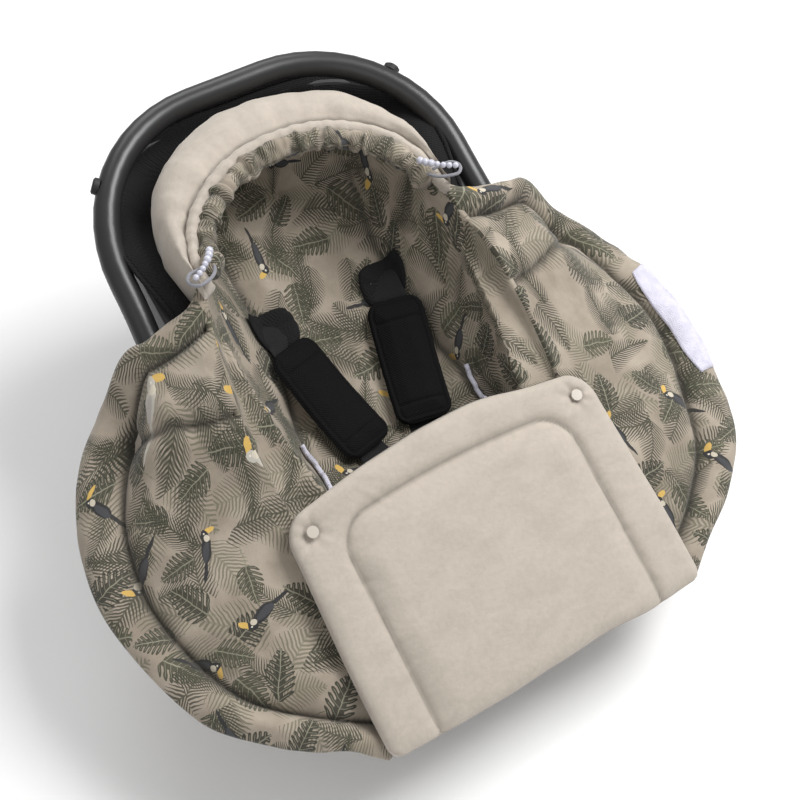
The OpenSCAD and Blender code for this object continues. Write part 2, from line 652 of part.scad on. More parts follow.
// The closure patch lies on the right wing, near its outer edge.
patch_lift = 1.4;
function patch_strip(lift) = [for (a = [26:-6:-10]) let (row = wing_row(a))
    [for (u = [0.8, 0.97]) mix(row[4], row[7], (u - 0.6) / 0.4) + [0, 0, lift]]];
module closure_patch() color("#dcd7e8") slab(patch_strip(patch_lift + 2), patch_strip(patch_lift));

// Bound slots beside the buckle, where the vehicle's lap belt passes through the wrap.
binding_share = 0.8;
module slot_binding(left) color("#dcd7e8") both_sides(left)
    sweep([for (a = [-11:-2.5:-24]) bucket_point(layers_t + 3, a, binding_share)],
          round_profile(4, 8), [0, 0, 1]);

// ---- drawing -------------------------------------------------------------

seat_shell();
outer_shell();
rim_trim();
bottom_cover();
bottom_screws();
rubber_feet();
foam_liner();
seat_cover();
pivot_boss(true);  // pivot_boss_left
pivot_boss(false);  // pivot_boss_right
pivot_pin(true);  // pivot_pin_left
pivot_pin(false);  // pivot_pin_right
handle_tube();
hub(true);  // hub_left
hub(false);  // hub_right
hub_cap(true);  // hub_cap_left
hub_cap(false);  // hub_cap_right
lock_gear(true);  // lock_gear_left
lock_gear(false);  // lock_gear_right
lock_spring(true);  // lock_spring_left
lock_spring(false);  // lock_spring_right
handle_button(true);  // handle_button_left
handle_button(false);  // handle_button_right
belt_guide(true);  // belt_guide_left
belt_guide(false);  // belt_guide_right
rear_belt_guide();
adapter_socket(true);  // adapter_socket_left
adapter_socket(false);  // adapter_socket_right
shoulder_strap(true);  // shoulder_strap_left
shoulder_strap(false);  // shoulder_strap_right
shoulder_pad(true);  // shoulder_pad_left
shoulder_pad(false);  // shoulder_pad_right
yoke_plate();
lap_strap(true);  // lap_strap_left
lap_strap(false);  // lap_strap_right
tongue(true);  // tongue_left
tongue(false);  // tongue_right
crotch_strap();
buckle_body();
buckle_button();
adjuster_housing();
adjuster_button();
adjuster_strap();
wrap_back();
wing(true);  // wing_left
wing(false);  // wing_right
wrap_hood();
hood_casing();
drawcord(true);  // drawcord_left
drawcord(false);  // drawcord_right
cord_stopper(true);  // cord_stopper_left
cord_stopper(false);  // cord_stopper_right
foot_flap();
flap_panel();
snap_caps();
closure_patch();
slot_binding(true);  // slot_binding_left
slot_binding(false);  // slot_binding_right
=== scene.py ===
import math

import bmesh
import bpy
import numpy as np
from mathutils import Matrix, Vector


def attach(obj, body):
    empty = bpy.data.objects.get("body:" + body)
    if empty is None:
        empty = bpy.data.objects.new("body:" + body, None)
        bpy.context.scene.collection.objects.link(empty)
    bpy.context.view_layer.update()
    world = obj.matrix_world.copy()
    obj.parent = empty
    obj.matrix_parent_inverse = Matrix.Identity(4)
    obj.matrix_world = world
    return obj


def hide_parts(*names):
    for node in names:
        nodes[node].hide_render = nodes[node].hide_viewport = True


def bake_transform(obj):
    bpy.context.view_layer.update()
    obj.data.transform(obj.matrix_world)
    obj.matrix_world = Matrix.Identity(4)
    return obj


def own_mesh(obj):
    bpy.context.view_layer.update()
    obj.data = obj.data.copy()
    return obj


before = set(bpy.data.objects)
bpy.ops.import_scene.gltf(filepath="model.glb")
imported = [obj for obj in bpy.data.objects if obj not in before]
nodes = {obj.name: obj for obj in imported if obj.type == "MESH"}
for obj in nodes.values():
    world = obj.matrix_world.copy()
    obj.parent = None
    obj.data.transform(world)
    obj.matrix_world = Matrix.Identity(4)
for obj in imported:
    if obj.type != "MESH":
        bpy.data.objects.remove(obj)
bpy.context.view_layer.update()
scene = bpy.context.scene
MM = 0.001
DEG = math.pi / 180


# ---- camera ----------------------------------------------------------------

def aim_camera(azimuth, elevation, distance, target, lens):
    a, e = azimuth * DEG, elevation * DEG
    back = Vector((math.sin(a) * math.cos(e), -math.cos(a) * math.cos(e), math.sin(e)))
    camera = bpy.data.objects.new("camera", bpy.data.cameras.new("camera"))
    scene.collection.objects.link(camera)
    camera.data.lens = lens
    camera.data.sensor_width = 36
    camera.location = Vector(target) + back * distance
    camera.rotation_mode = "QUATERNION"
    camera.rotation_quaternion = (-back).to_track_quat("-Z", "Y")
    scene.camera = camera


aim_camera(-31.4, 54.1, 1.5675, (0.0836, 0.0494, 0), 55.6)


# ---- the drawcords' loops and beads, in millimetres (x for the right side, y, z) ------------

CORD = [(124, 60, 362), (127, 52, 364), (133, 45, 366), (141, 41, 367), (149, 40, 367), (155, 45, 367),
        (156, 52, 367), (151, 58, 367), (144, 60, 366), (137, 61, 365), (131, 62, 363)]
CORD_D = 3.6
BEAD_ROW = [(122, 72, 372), (127, 64, 373), (134, 57, 373), (141, 51, 373), (149, 46, 373)]
BEADS = 7


# ---- driving sizes, in millimetres, as in the CAD --------------------------------------------

RIM_HALF_W = 183
RIM_MID_Y = 120                     # where the rim is widest
HEAD_REACH, FOOT_REACH = 176, 420   # from there to the rim's head and foot ends
HEAD_POWER, FOOT_POWER = 3.4, 2.8   # squareness of the rim's outline at the two ends
RIM_SIDE_Z, RIM_HEAD_Z, RIM_FOOT_Z = 264, 324, 112
WALLS = 8.4                         # both walls of the shell and the gap between them
PAN_Z, BACK_SLOPE = 95, 31 * DEG
LAYERS = 43.8                       # foam, cover and wrap together
COVER_LIFT = 25.6                   # top of the seat's own cover
HOOD_HALF_W, HOOD_DEPTH, HOOD_RISE = 133, 101, 35
HOOD_END_Y, HOOD_END_Z = 62, 346
FLAP_W, FLAP_L, FLAP_SLOPE = 376.0, 252.0, 26 * DEG
FOLD_Y, FOLD_Z = -378, 112
PAD_TOP, PAD_LOW = (66.0, 38.0), (34.0, -90.0)
PAD_HALF_W = 32.0
BUCKLE_Y = -192
ADJUSTER_Y = -252
PIVOT_Z = 238
UP = np.array([0, 0, 1.0])


# ---- shapes of the object, in millimetres -------------------------------------

def mix(a, b, t):
    return a + (b - a) * t


def smooth(t):
    c = np.clip(t, 0, 1)
    return c * c * (3 - 2 * c)


def spow(v, p):
    return np.sign(v) * np.abs(v) ** p


def rounded(d, radius):
    """0 at an edge, rising as a quarter circle to 1 at radius away from it."""
    return np.sqrt(np.clip(1 - (1 - np.clip(d / radius, 0, 1)) ** 2, 0, 1))


def rim_z(y):
    head = RIM_SIDE_Z + (RIM_HEAD_Z - RIM_SIDE_Z) * (1 - (1 - np.clip(y / 296, 0, 1)) ** 3.3)
    foot = RIM_SIDE_Z - (RIM_SIDE_Z - RIM_FOOT_Z) * np.clip(-y / 300, 0, 1) ** 1.05
    return np.where(y >= 0, head, foot)


def pan_height(y):
    rise = 35 * np.log1p(np.exp((np.clip(y, -700, 700) + 60) / 35))
    return PAN_Z + math.tan(BACK_SLOPE) * np.minimum(rise, 405) + 6 * np.clip((-120 - y) / 180, 0, 1) ** 2


def surface_z(y):
    return pan_height(y) + LAYERS


def bucket_point(lift, a, s):
    """A point of the bucket lifted by lift, at angle a (radians) and share s of the way to the rim."""
    head = np.sin(a) > 0
    reach = np.where(head, HEAD_REACH, FOOT_REACH)
    p = np.where(head, 2 / HEAD_POWER, 2 / FOOT_POWER)
    inset = WALLS + lift
    ox = (RIM_HALF_W - inset) * spow(np.cos(a), p)
    oy = (reach - inset) * spow(np.sin(a), p)
    rim_y = RIM_MID_Y + reach * spow(np.sin(a), p)
    y = RIM_MID_Y + oy * s
    wall = np.maximum(0, rim_z(rim_y) - pan_height(rim_y) - lift)
    return np.stack([ox * s, y, pan_height(y) + lift + wall * s ** 5], -1)


def curve_through(points, n):
    """n points evenly spaced in parameter along a smooth curve through the given ones."""
    p = np.array(points, float)
    ext = np.vstack([2 * p[0] - p[1], p, 2 * p[-1] - p[-2]])
    t = np.linspace(0, len(p) - 1, n)
    i = np.minimum(t.astype(int), len(p) - 2)
    f = (t - i)[:, None]
    a, b, c, d = ext[i], ext[i + 1], ext[i + 2], ext[i + 3]
    return 0.5 * (2 * b + (c - a) * f + (2 * a - 5 * b + 4 * c - d) * f ** 2
                  + (3 * b - a - 3 * c + d) * f ** 3)


def lengths(p):
    """How far along it each point of a curve lies."""
    return np.concatenate([[0], np.cumsum(np.linalg.norm(np.diff(p, axis=0), axis=1))])


def even(points, n):
    """The same curve resampled to n points evenly spaced along its length."""
    p = np.array(points, float)
    s = lengths(p)
    t = np.linspace(0, s[-1], n)
    return np.stack([np.interp(t, s, p[:, k]) for k in range(p.shape[1])], -1)


def value_noise(x, y, seed=0):
    """Smooth repeatable noise from -1 to 1 at the points (x, y)."""
    xi, yi = np.floor(x), np.floor(y)
    fx, fy = x - xi, y - yi
    fx, fy = fx * fx * (3 - 2 * fx), fy * fy * (3 - 2 * fy)

    def corner(i, j):
        v = np.sin((xi + i) * 127.1 + (yi + j) * 311.7 + seed * 74.7) * 43758.5453
        return (v - np.floor(v)) * 2 - 1

    return mix(mix(corner(0, 0), corner(1, 0), fx), mix(corner(0, 1), corner(1, 1), fx), fy)


def folds(x, y, seed=0):
    return value_noise(x, y, seed) + 0.5 * value_noise(2.1 * x + 5, 2.1 * y, seed + 1)


def cross_ways(path, up):
    """For each point of a path: the direction across it, and up square to both."""
    t = np.gradient(path, axis=0)
    t /= np.linalg.norm(t, axis=1, keepdims=True)
    u = up - t * np.sum(up * t, axis=1, keepdims=True)
    u /= np.maximum(np.linalg.norm(u, axis=1, keepdims=True), 1e-9)
    return np.cross(t, u), u


# ---- meshes ---------------------------------------------------------------------

def shade_smooth(mesh):
    mesh.polygons.foreach_set("use_smooth", [True] * len(mesh.polygons))


def new_mesh(name, points, faces, cloth=None, seam_shade=None):
    """A mesh from points in millimetres. cloth is each point's place on the flat cloth, in millimetres,
    and the last argument is painted shade: 1 in the depth of a seam, where the colour is darkened."""
    mesh = bpy.data.meshes.new(name)
    mesh.from_pydata((np.asarray(points) * MM).tolist(), [], [list(map(int, f)) for f in faces])
    mesh.update()
    if cloth is not None:
        attribute = mesh.attributes.new("cloth", "FLOAT_VECTOR", "POINT")
        flat = np.zeros((len(points), 3), np.float32)
        flat[:, :2] = np.asarray(cloth) * MM
        attribute.data.foreach_set("vector", flat.ravel())
    # painted shade in the seams, stored per point for the cloth materials
    if seam_shade is not None:
        attribute = mesh.attributes.new("seam_shade", "FLOAT", "POINT")
        attribute.data.foreach_set("value", np.clip(seam_shade, 0, 1).astype(np.float32).ravel())
    shade_smooth(mesh)
    obj = bpy.data.objects.new(name, mesh)
    scene.collection.objects.link(obj)
    return obj


def grid_faces(n, m, start=0, wrap=False, flip=False):
    """Faces of an n by m grid of points, m points in each row. wrap closes each row on itself."""
    i, j = np.meshgrid(np.arange(n - 1), np.arange(m if wrap else m - 1), indexing="ij")
    k = (j + 1) % m
    quad = np.stack([i * m + j, i * m + k, (i + 1) * m + k, (i + 1) * m + j], -1).reshape(-1, 4) + start
    return quad[:, ::-1] if flip else quad


def capped(n, m, flip=False):
    """Faces of a tube of n rings of m points, closed at both ends."""
    faces = grid_faces(n, m, wrap=True).tolist()
    faces += [list(range(m))[::-1], list(range((n - 1) * m, n * m))]
    return [f[::-1] for f in faces] if flip else faces


def upward_normals(p):
    n = np.cross(np.gradient(p, axis=0), np.gradient(p, axis=1))
    n /= np.maximum(np.linalg.norm(n, axis=-1, keepdims=True), 1e-9)
    return n * np.sign(n[..., 2:3] + 1e-9)


def both(upper):
    """An upper grid's values, then 0 for every point of the lower one."""
    return np.concatenate([upper.ravel(), 0 * upper.ravel()])


def shell(name, top, low, cloth, materials, flip=False, seam_shade=None):
    """A closed padded piece between two grids of points. materials: one for the top and rim, one below."""
    n, m = top.shape[:2]
    points = np.concatenate([top.reshape(-1, 3), low.reshape(-1, 3)])
    faces = [grid_faces(n, m, 0, flip=flip), grid_faces(n, m, n * m, flip=not flip)]
    ring = np.concatenate([np.arange(m), np.arange(1, n) * m + m - 1,
                           (n - 1) * m + np.arange(m - 2, -1, -1), np.arange(n - 2, 0, -1) * m])
    a, b = ring, np.roll(ring, -1)
    rim = np.stack([a, a + n * m, b + n * m, b], -1)
    faces.append(rim[:, ::-1] if flip else rim)
    flat = np.concatenate([cloth.reshape(-1, 2)] * 2)
    obj = new_mesh(name, points, np.concatenate(faces), flat, None if seam_shade is None else both(seam_shade))
    for material in materials:
        obj.data.materials.append(material)
    if len(materials) > 1:
        count = len(faces[0])
        index = np.zeros(len(obj.data.polygons), np.int32)
        index[count:2 * count] = 1
        obj.data.polygons.foreach_set("material_index", index)
    return obj


def round_sheet(name, top, low, cloth, material, flip=False, hole=False, seam_shade=None):
    """A closed sheet between two fans of points: n spokes of m points, joined all the way round.
    hole closes the sheet's inner edge as well."""
    n, m = top.shape[:2]
    i = np.arange(n)
    k = (i + 1) % n
    faces = []
    for start, turned in ((0, flip), (n * m, not flip)):
        for j in range(m - 1):
            quad = np.stack([i * m + j, i * m + j + 1, k * m + j + 1, k * m + j], -1) + start
            faces.append(quad[:, ::-1] if turned else quad)
    edges = [(0, not flip), (m - 1, flip)]
    for j, turned in edges if hole else edges[1:]:
        quad = np.stack([i * m + j, i * m + j + n * m, k * m + j + n * m, k * m + j], -1)
        faces.append(quad[:, ::-1] if turned else quad)
    points = np.concatenate([top.reshape(-1, 3), low.reshape(-1, 3)])
    flat = np.concatenate([cloth.reshape(-1, 2)] * 2)
    obj = new_mesh(name, points, np.concatenate(faces), flat, None if seam_shade is None else both(seam_shade))
    obj.data.materials.append(material)
    return obj


def sweep(name, path, up, section_x, section_z, round_way, material):
    """A closed section carried along path (millimetres).

    round_way is each section point's place on the cloth.
    """
    path = np.array(path, float)
    across, up = cross_ways(path, up)
    n, m = len(path), len(section_x)
    p = path[:, None] + across[:, None] * section_x[:, None] + up[:, None] * section_z[:, None]
    cloth = np.stack([np.repeat(lengths(path), m), np.tile(round_way, n)], -1)
    obj = new_mesh(name, p.reshape(-1, 3), capped(n, m), cloth)
    obj.data.materials.append(material)
    return obj


def tube(name, path, radius, sides, material):
    a = np.linspace(0, 2 * math.pi, sides, endpoint=False)
    return sweep(name, path, UP, radius * np.cos(a), radius * np.sin(a), a * radius, material)


def band(name, path, up, width, thick, material):
    """Flat webbing along path."""
    a = np.linspace(0, 2 * math.pi, 20, endpoint=False)
    wide = spow(np.cos(a), 0.35) * width / 2
    return sweep(name, path, up, wide, spow(np.sin(a), 0.9) * thick / 2, wide, material)


def ball(name, at, radius, material, segments):
    mesh = bpy.data.meshes.new(name)
    obj = bpy.data.objects.new(name, mesh)
    scene.collection.objects.link(obj)
    bm = bmesh.new()
    bmesh.ops.create_uvsphere(bm, u_segments=segments, v_segments=segments // 2, radius=radius * MM)
    bm.to_mesh(mesh)
    bm.free()
    mesh.transform(Matrix.Translation(Vector(at) * MM))
    shade_smooth(mesh)
    mesh.materials.append(material)
    return obj


def join(name, objs):
    bpy.ops.object.select_all(action="DESELECT")
    for o in objs:
        o.select_set(True)
    bpy.context.view_layer.objects.active = objs[0]
    bpy.ops.object.join()
    objs[0].name = name
    return objs[0]


# ---- materials --------------------------------------------------------------------

class Net:
    """Small helper that writes a node material as expressions."""

    def __init__(self, name):
        self.mat = bpy.data.materials.new(name)
        self.mat.use_nodes = True
        self.tree = self.mat.node_tree
        self.bsdf = self.tree.nodes["Principled BSDF"]

    def node(self, kind, **settings):
        n = self.tree.nodes.new(kind)
        for k, v in settings.items():
            setattr(n, k, v)
        return n

    def put(self, socket, value):
        if isinstance(value, (int, float)):
            socket.default_value = value
        elif isinstance(value, tuple):
            if len(value) == 3 and len(socket.default_value) == 4:
                value = (*value, 1)
            socket.default_value = value
        else:
            self.tree.links.new(value, socket)

    def math(self, op, *args, clamp=False):
        n = self.node("ShaderNodeMath", operation=op, use_clamp=clamp)
        for s, v in zip(n.inputs, args):
            self.put(s, v)
        return n.outputs[0]

    def add(self, a, b): return self.math("ADD", a, b)
    def sub(self, a, b): return self.math("SUBTRACT", a, b)
    def mul(self, a, b): return self.math("MULTIPLY", a, b)
    def div(self, a, b): return self.math("DIVIDE", a, b)
    def high(self, a, b): return self.math("MAXIMUM", a, b)
    def abs(self, a): return self.math("ABSOLUTE", a)
    def sin(self, a): return self.math("SINE", a)
    def pow(self, a, b): return self.math("POWER", a, b)

    def step(self, value, low, high):
        """0 below low, 1 above high, smooth between."""
        n = self.node("ShaderNodeMapRange", interpolation_type="SMOOTHSTEP")
        self.put(n.inputs["Value"], value)
        n.inputs["From Min"].default_value = low
        n.inputs["From Max"].default_value = high
        return n.outputs[0]

    def split(self, vector):
        n = self.node("ShaderNodeSeparateXYZ")
        self.put(n.inputs[0], vector)
        return n.outputs[0], n.outputs[1], n.outputs[2]

    def join(self, x, y, z=0.0):
        n = self.node("ShaderNodeCombineXYZ")
        for s, v in zip(n.inputs, (x, y, z)):
            self.put(s, v)
        return n.outputs[0]

    def vmath(self, op, a, b):
        n = self.node("ShaderNodeVectorMath", operation=op)
        self.put(n.inputs[0], a)
        self.put(n.inputs[1], b)
        return n.outputs[0]

    def color(self, a, b, t):
        n = self.node("ShaderNodeMix", data_type="RGBA")
        self.put(n.inputs[0], t)
        self.put(n.inputs[6], a)
        self.put(n.inputs[7], b)
        return n.outputs[2]

    def noise(self, vector, scale, detail=3.0, rough=0.55, distortion=0.0):
        n = self.node("ShaderNodeTexNoise")
        self.put(n.inputs["Vector"], vector)
        n.inputs["Scale"].default_value = scale
        n.inputs["Detail"].default_value = detail
        n.inputs["Roughness"].default_value = rough
        n.inputs["Distortion"].default_value = distortion
        return n.outputs["Fac"]

    def place(self):
        n = self.node("ShaderNodeTexCoord")
        return n.outputs["Object"]

    def cloth(self):
        n = self.node("ShaderNodeAttribute", attribute_type="GEOMETRY", attribute_name="cloth")
        return n.outputs["Vector"]

    def add_seam_shade(self, shade, tone, strength=0.8):
        """Painted shade: the colour darkened towards tone in the depth of the seams."""
        n = self.node("ShaderNodeAttribute", attribute_type="GEOMETRY", attribute_name="seam_shade")
        return self.color(shade, tone, self.mul(n.outputs["Fac"], strength))

    def bump(self, height, distance):
        n = self.node("ShaderNodeBump")
        n.inputs["Strength"].default_value = 1
        n.inputs["Distance"].default_value = distance
        self.put(n.inputs["Height"], height)
        return n.outputs[0]

    def finish(self, color, rough, normal=None, **more):
        self.put(self.bsdf.inputs["Base Color"], color)
        self.put(self.bsdf.inputs["Roughness"], rough)
        if normal is not None:
            self.put(self.bsdf.inputs["Normal"], normal)
        for k, v in more.items():
            self.put(self.bsdf.inputs[k.replace("_", " ")], v)
        return self.mat


def tint(color, k):
    return tuple(min(1, c * k) for c in color)


def moulded(name, color, rough=0.45, grain=900, depth=0.00012, vary=0.12, **more):
    """Moulded plastic with a fine grain and slight wear."""
    n = Net(name)
    at = n.place()
    grainy = n.noise(at, grain, 2)
    cloud = n.noise(at, 9, 3)
    shade = n.color(tint(color, 1 - vary), tint(color, 1 + vary), cloud)
    r = n.add(rough - 0.05, n.mul(cloud, 0.1))
    return n.finish(shade, r, n.bump(grainy, depth), **more)


def metal(name, color):
    n = Net(name)
    at = n.place()
    brushed = n.noise(n.vmath("MULTIPLY", at, (40.0, 900.0, 900.0)), 1.0, 2)
    return n.finish(color, n.add(0.3, n.mul(brushed, 0.15)), n.bump(brushed, 0.00005), Metallic=1.0)


def webbing(name, color, cloth=True):
    n = Net(name)
    at = n.cloth() if cloth else n.place()
    x, y, _ = n.split(at)
    rib = n.sin(n.mul(x, 3600.0))
    cross = n.sin(n.mul(y, 2600.0))
    weave = n.add(n.mul(rib, 0.6), n.mul(n.mul(rib, cross), 0.4))
    fuzz = n.noise(at, 700, 2)
    shade = n.color(tint(color, 0.6), tint(color, 1.7), n.step(weave, -1, 1))
    return n.finish(shade, 0.72, n.bump(n.add(weave, n.mul(fuzz, 0.6)), 0.00035), Sheen_Weight=0.03,
                    Specular_IOR_Level=0.25)


def knit(name, color, scale=1500.0, cloth=False, sheen=0.03, gloss=0.2):
    n = Net(name)
    at = n.cloth() if cloth else n.place()
    x, y, z = n.split(at)
    loops = n.mul(n.sin(n.mul(n.add(x, z), scale)), n.sin(n.mul(n.sub(y, z), scale)))
    fuzz = n.noise(at, 420, 3)
    cloud = n.noise(at, 14, 3)
    shade = n.color(tint(color, 0.75), tint(color, 1.3), n.add(n.mul(fuzz, 0.5), n.mul(cloud, 0.5)))
    return n.finish(shade, 0.9, n.bump(n.add(loops, fuzz), 0.0003), Sheen_Weight=sheen,
                    Specular_IOR_Level=gloss)


def velour(name, color):
    """Soft cut pile: brushed patches, fine fibres and a bright edge."""
    n = Net(name)
    at = n.cloth()
    stroke = n.noise(n.vmath("MULTIPLY", at, (26.0, 42.0, 30.0)), 1.0, 4, 0.6, distortion=0.8)
    fibre = n.noise(at, 1500, 2, 0.6)
    soft = n.noise(at, 180, 3)
    t = n.add(n.mul(stroke, 0.62), n.mul(soft, 0.38))
    shade = n.color(tint(color, 0.93), tint(color, 1.06), n.step(t, 0.3, 0.7))
    shade = n.color(shade, tint(color, 0.86), n.mul(n.step(fibre, 0.55, 0.8), 0.3))
    # painted shade: the colour darkens towards the seams' depth
    shade = n.add_seam_shade(shade, tint(color, 0.34))
    height = n.add(n.mul(fibre, 0.5), n.mul(soft, 0.9))
    return n.finish(shade, 0.88, n.bump(height, 0.0006), Sheen_Weight=0.35, Sheen_Roughness=0.45,
                    Sheen_Tint=(1.0, 0.97, 0.92))


def print_layer(n, at, cell, offset, size, randomness=0.62):
    """Cells that each hold one motif: its own turned coordinates (-1 to 1) and three random numbers."""
    moved = n.vmath("ADD", at, offset)
    v = n.node("ShaderNodeTexVoronoi", voronoi_dimensions="2D", feature="F1")
    n.put(v.inputs["Vector"], moved)
    v.inputs["Scale"].default_value = 1 / cell
    v.inputs["Randomness"].default_value = randomness
    d = n.vmath("SUBTRACT", moved, v.outputs["Position"])
    r, g, b = n.split(v.outputs["Color"])
    x, y, _ = n.split(d)
    turn = n.mul(r, 2 * math.pi)
    c, s = n.math("COSINE", turn), n.math("SINE", turn)
    k = n.div(1.0, n.mul(size, n.add(0.8, n.mul(g, 0.35))))
    px = n.mul(n.add(n.mul(x, c), n.mul(y, s)), k)
    py = n.mul(n.sub(n.mul(y, c), n.mul(x, s)), k)
    return px, py, r, g, b


def fronds(n, px, py, count=15.0, lean=0.9, wide=0.5):
    """A feather palm frond along x. Returns (cover, light on the leaflets)."""
    curve = n.mul(n.sub(1.0, n.mul(px, px)), 0.16)
    y = n.sub(py, curve)
    ay = n.abs(y)
    body = n.math("SQRT", n.high(n.sub(1.0, n.mul(px, px)), 0.0))
    reach = n.mul(body, n.mul(n.add(1.0, n.mul(px, -0.45)), wide))
    along = n.mul(n.sub(px, n.mul(ay, lean)), count)
    wave = n.math("PINGPONG", along, 0.5)
    far = n.div(ay, n.high(reach, 0.01))
    leaflet = n.math("GREATER_THAN", n.sub(0.5, wave), n.add(0.19, n.mul(n.mul(far, far), 0.27)))
    inside = n.math("LESS_THAN", ay, reach)
    blade = n.mul(leaflet, inside)
    stem = n.mul(n.math("LESS_THAN", ay, 0.022), n.math("LESS_THAN", n.abs(px), 1.0))
    return n.high(blade, stem), n.step(wave, 0.0, 0.35)


def split_leaf(n, px, py):
    """A broad leaf with deep cuts between its ribs. Returns (cover, pale ribs)."""
    ay = n.abs(py)
    t = n.math("MULTIPLY_ADD", px, 0.55, 0.5, clamp=True)
    wide = n.mul(n.mul(n.pow(n.high(t, 0.0001), 0.42), n.pow(n.high(n.sub(1.0, t), 0.0001), 0.8)), 1.35)
    along = n.mul(n.sub(px, n.mul(ay, 0.6)), 4.4)
    wave = n.math("PINGPONG", along, 0.5)
    cut = n.mul(n.math("GREATER_THAN", wave, 0.33), n.math("GREATER_THAN", ay, n.mul(wide, 0.36)))
    edge = n.mul(wide, n.sub(1.0, n.mul(n.step(wave, 0.1, 0.5), 0.28)))
    cover = n.mul(n.math("LESS_THAN", ay, edge), n.sub(1.0, cut))
    ribs = n.mul(n.math("LESS_THAN", wave, 0.045), n.math("LESS_THAN", ay, n.mul(wide, 0.8)))
    middle = n.math("LESS_THAN", ay, 0.022)
    return cover, n.high(ribs, middle)


def ellipse(n, px, py, cx, cy, rx, ry, turn=0.0):
    """Signed field of an ellipse: below 1 inside."""
    c, s = math.cos(turn), math.sin(turn)
    x, y = n.sub(px, cx), n.sub(py, cy)
    u = n.div(n.add(n.mul(x, c), n.mul(y, s)), rx)
    v = n.div(n.sub(n.mul(y, c), n.mul(x, s)), ry)
    return n.add(n.mul(u, u), n.mul(v, v))


def bird(n, px, py):
    """A perched bird seen from the side. Returns (body, wing, breast, beak, eye) covers."""
    def inside(field):
        return n.math("LESS_THAN", field, 1.0)

    trunk = inside(ellipse(n, px, py, -0.02, 0.0, 0.40, 0.17, 0.35))
    head = inside(ellipse(n, px, py, 0.36, 0.20, 0.15, 0.13, 0.2))
    tail = inside(ellipse(n, px, py, -0.58, -0.20, 0.36, 0.055, 0.28))
    wing = inside(ellipse(n, px, py, -0.10, -0.01, 0.32, 0.10, 0.30))
    breast = inside(ellipse(n, px, py, 0.30, 0.10, 0.10, 0.09, 0.5))
    beak = n.mul(inside(ellipse(n, px, py, 0.56, 0.10, 0.20, 0.085, -0.75)),
                 n.math("GREATER_THAN", n.add(n.mul(px, 0.85), n.mul(py, -0.2)), 0.38))
    eye = inside(ellipse(n, px, py, 0.39, 0.22, 0.028, 0.028))
    return n.high(n.high(trunk, head), tail), wing, breast, beak, eye


def printed(name):
    """The lining: a taupe velour printed all over with leaves, fronds and small birds."""
    n = Net(name)
    at = n.cloth()
    wob = n.noise(at, 55, 2)
    wob2 = n.noise(n.vmath("ADD", at, (3.1, 1.7, 0.0)), 55, 2)
    at = n.vmath("ADD", at, n.join(n.mul(n.sub(wob, 0.5), 0.006), n.mul(n.sub(wob2, 0.5), 0.006)))
    cloud = n.noise(at, 16, 4, 0.6)
    ground = n.color((0.26, 0.217, 0.168), (0.39, 0.335, 0.268), n.step(cloud, 0.3, 0.7))
    grain = n.noise(at, 900, 2)
    dark = (0.02, 0.02, 0.012)
    mid = (0.06, 0.06, 0.034)
    pale = (0.36, 0.345, 0.25)

    def ink(base, cover, tone, strength):
        return n.color(base, tone, n.mul(cover, strength))

    def some(cover, draw, least):
        """The motif in only those cells whose random number is above least."""
        return n.mul(cover, n.math("GREATER_THAN", draw, least))

    color = ground
    px, py, r, g, b = print_layer(n, at, 0.058, (0.0, 0.0, 0.0), 0.036)
    cover, light = fronds(n, px, py, 8.0, 0.8, 0.6)
    color = ink(color, cover, n.color((0.09, 0.086, 0.052), (0.2, 0.186, 0.13), light), 0.7)
    px, py, r, g, b = print_layer(n, at, 0.047, (0.37, 0.11, 0.0), 0.033)
    cover, light = fronds(n, px, py, 9.0, 0.9, 0.5)
    color = ink(color, some(cover, b, 0.25), n.color(dark, mid, light), 0.85)
    px, py, r, g, b = print_layer(n, at, 0.050, (0.81, 0.43, 0.0), 0.026)
    cover, vein = split_leaf(n, px, py)
    tone = n.color(n.color(dark, mid, r), pale, n.mul(vein, 0.6))
    color = ink(color, some(cover, b, 0.3), tone, 0.92)
    px, py, r, g, b = print_layer(n, at, 0.066, (1.23, 0.77, 0.0), 0.042)
    cover, light = fronds(n, px, py, 11.0, 1.3, 0.34)
    color = ink(color, some(cover, b, 0.45), n.color((0.022, 0.022, 0.014), mid, light), 0.92)
    px, py, r, g, b = print_layer(n, at, 0.088, (1.71, 1.19, 0.0), 0.037, 0.5)
    body, wing, breast, beak, eye = bird(n, px, py)
    white = n.math("GREATER_THAN", g, 0.85)
    coat = n.color((0.018, 0.018, 0.02), (0.5, 0.47, 0.41), white)
    feathers = n.color((0.05, 0.052, 0.058), (0.4, 0.37, 0.33), white)
    for cover, tone, strength in ((body, coat, 0.97), (wing, feathers, 0.9),
                                  (breast, (0.62, 0.56, 0.45), 0.9),
                                  (beak, (0.62, 0.40, 0.10), 0.97), (eye, (0.75, 0.7, 0.6), 0.95)):
        color = ink(color, some(cover, b, 0.2), tone, strength)
    shade = n.color(color, (0.16, 0.14, 0.11), n.mul(n.step(grain, 0.5, 0.8), 0.28))
    # painted shade: the colour darkens towards the seams' depth
    shade = n.add_seam_shade(shade, (0.045, 0.04, 0.03))
    soft = n.noise(at, 160, 3)
    return n.finish(shade, 0.86, n.bump(n.add(n.mul(grain, 0.5), soft), 0.0005), Sheen_Weight=0.2,
                    Sheen_Roughness=0.5)


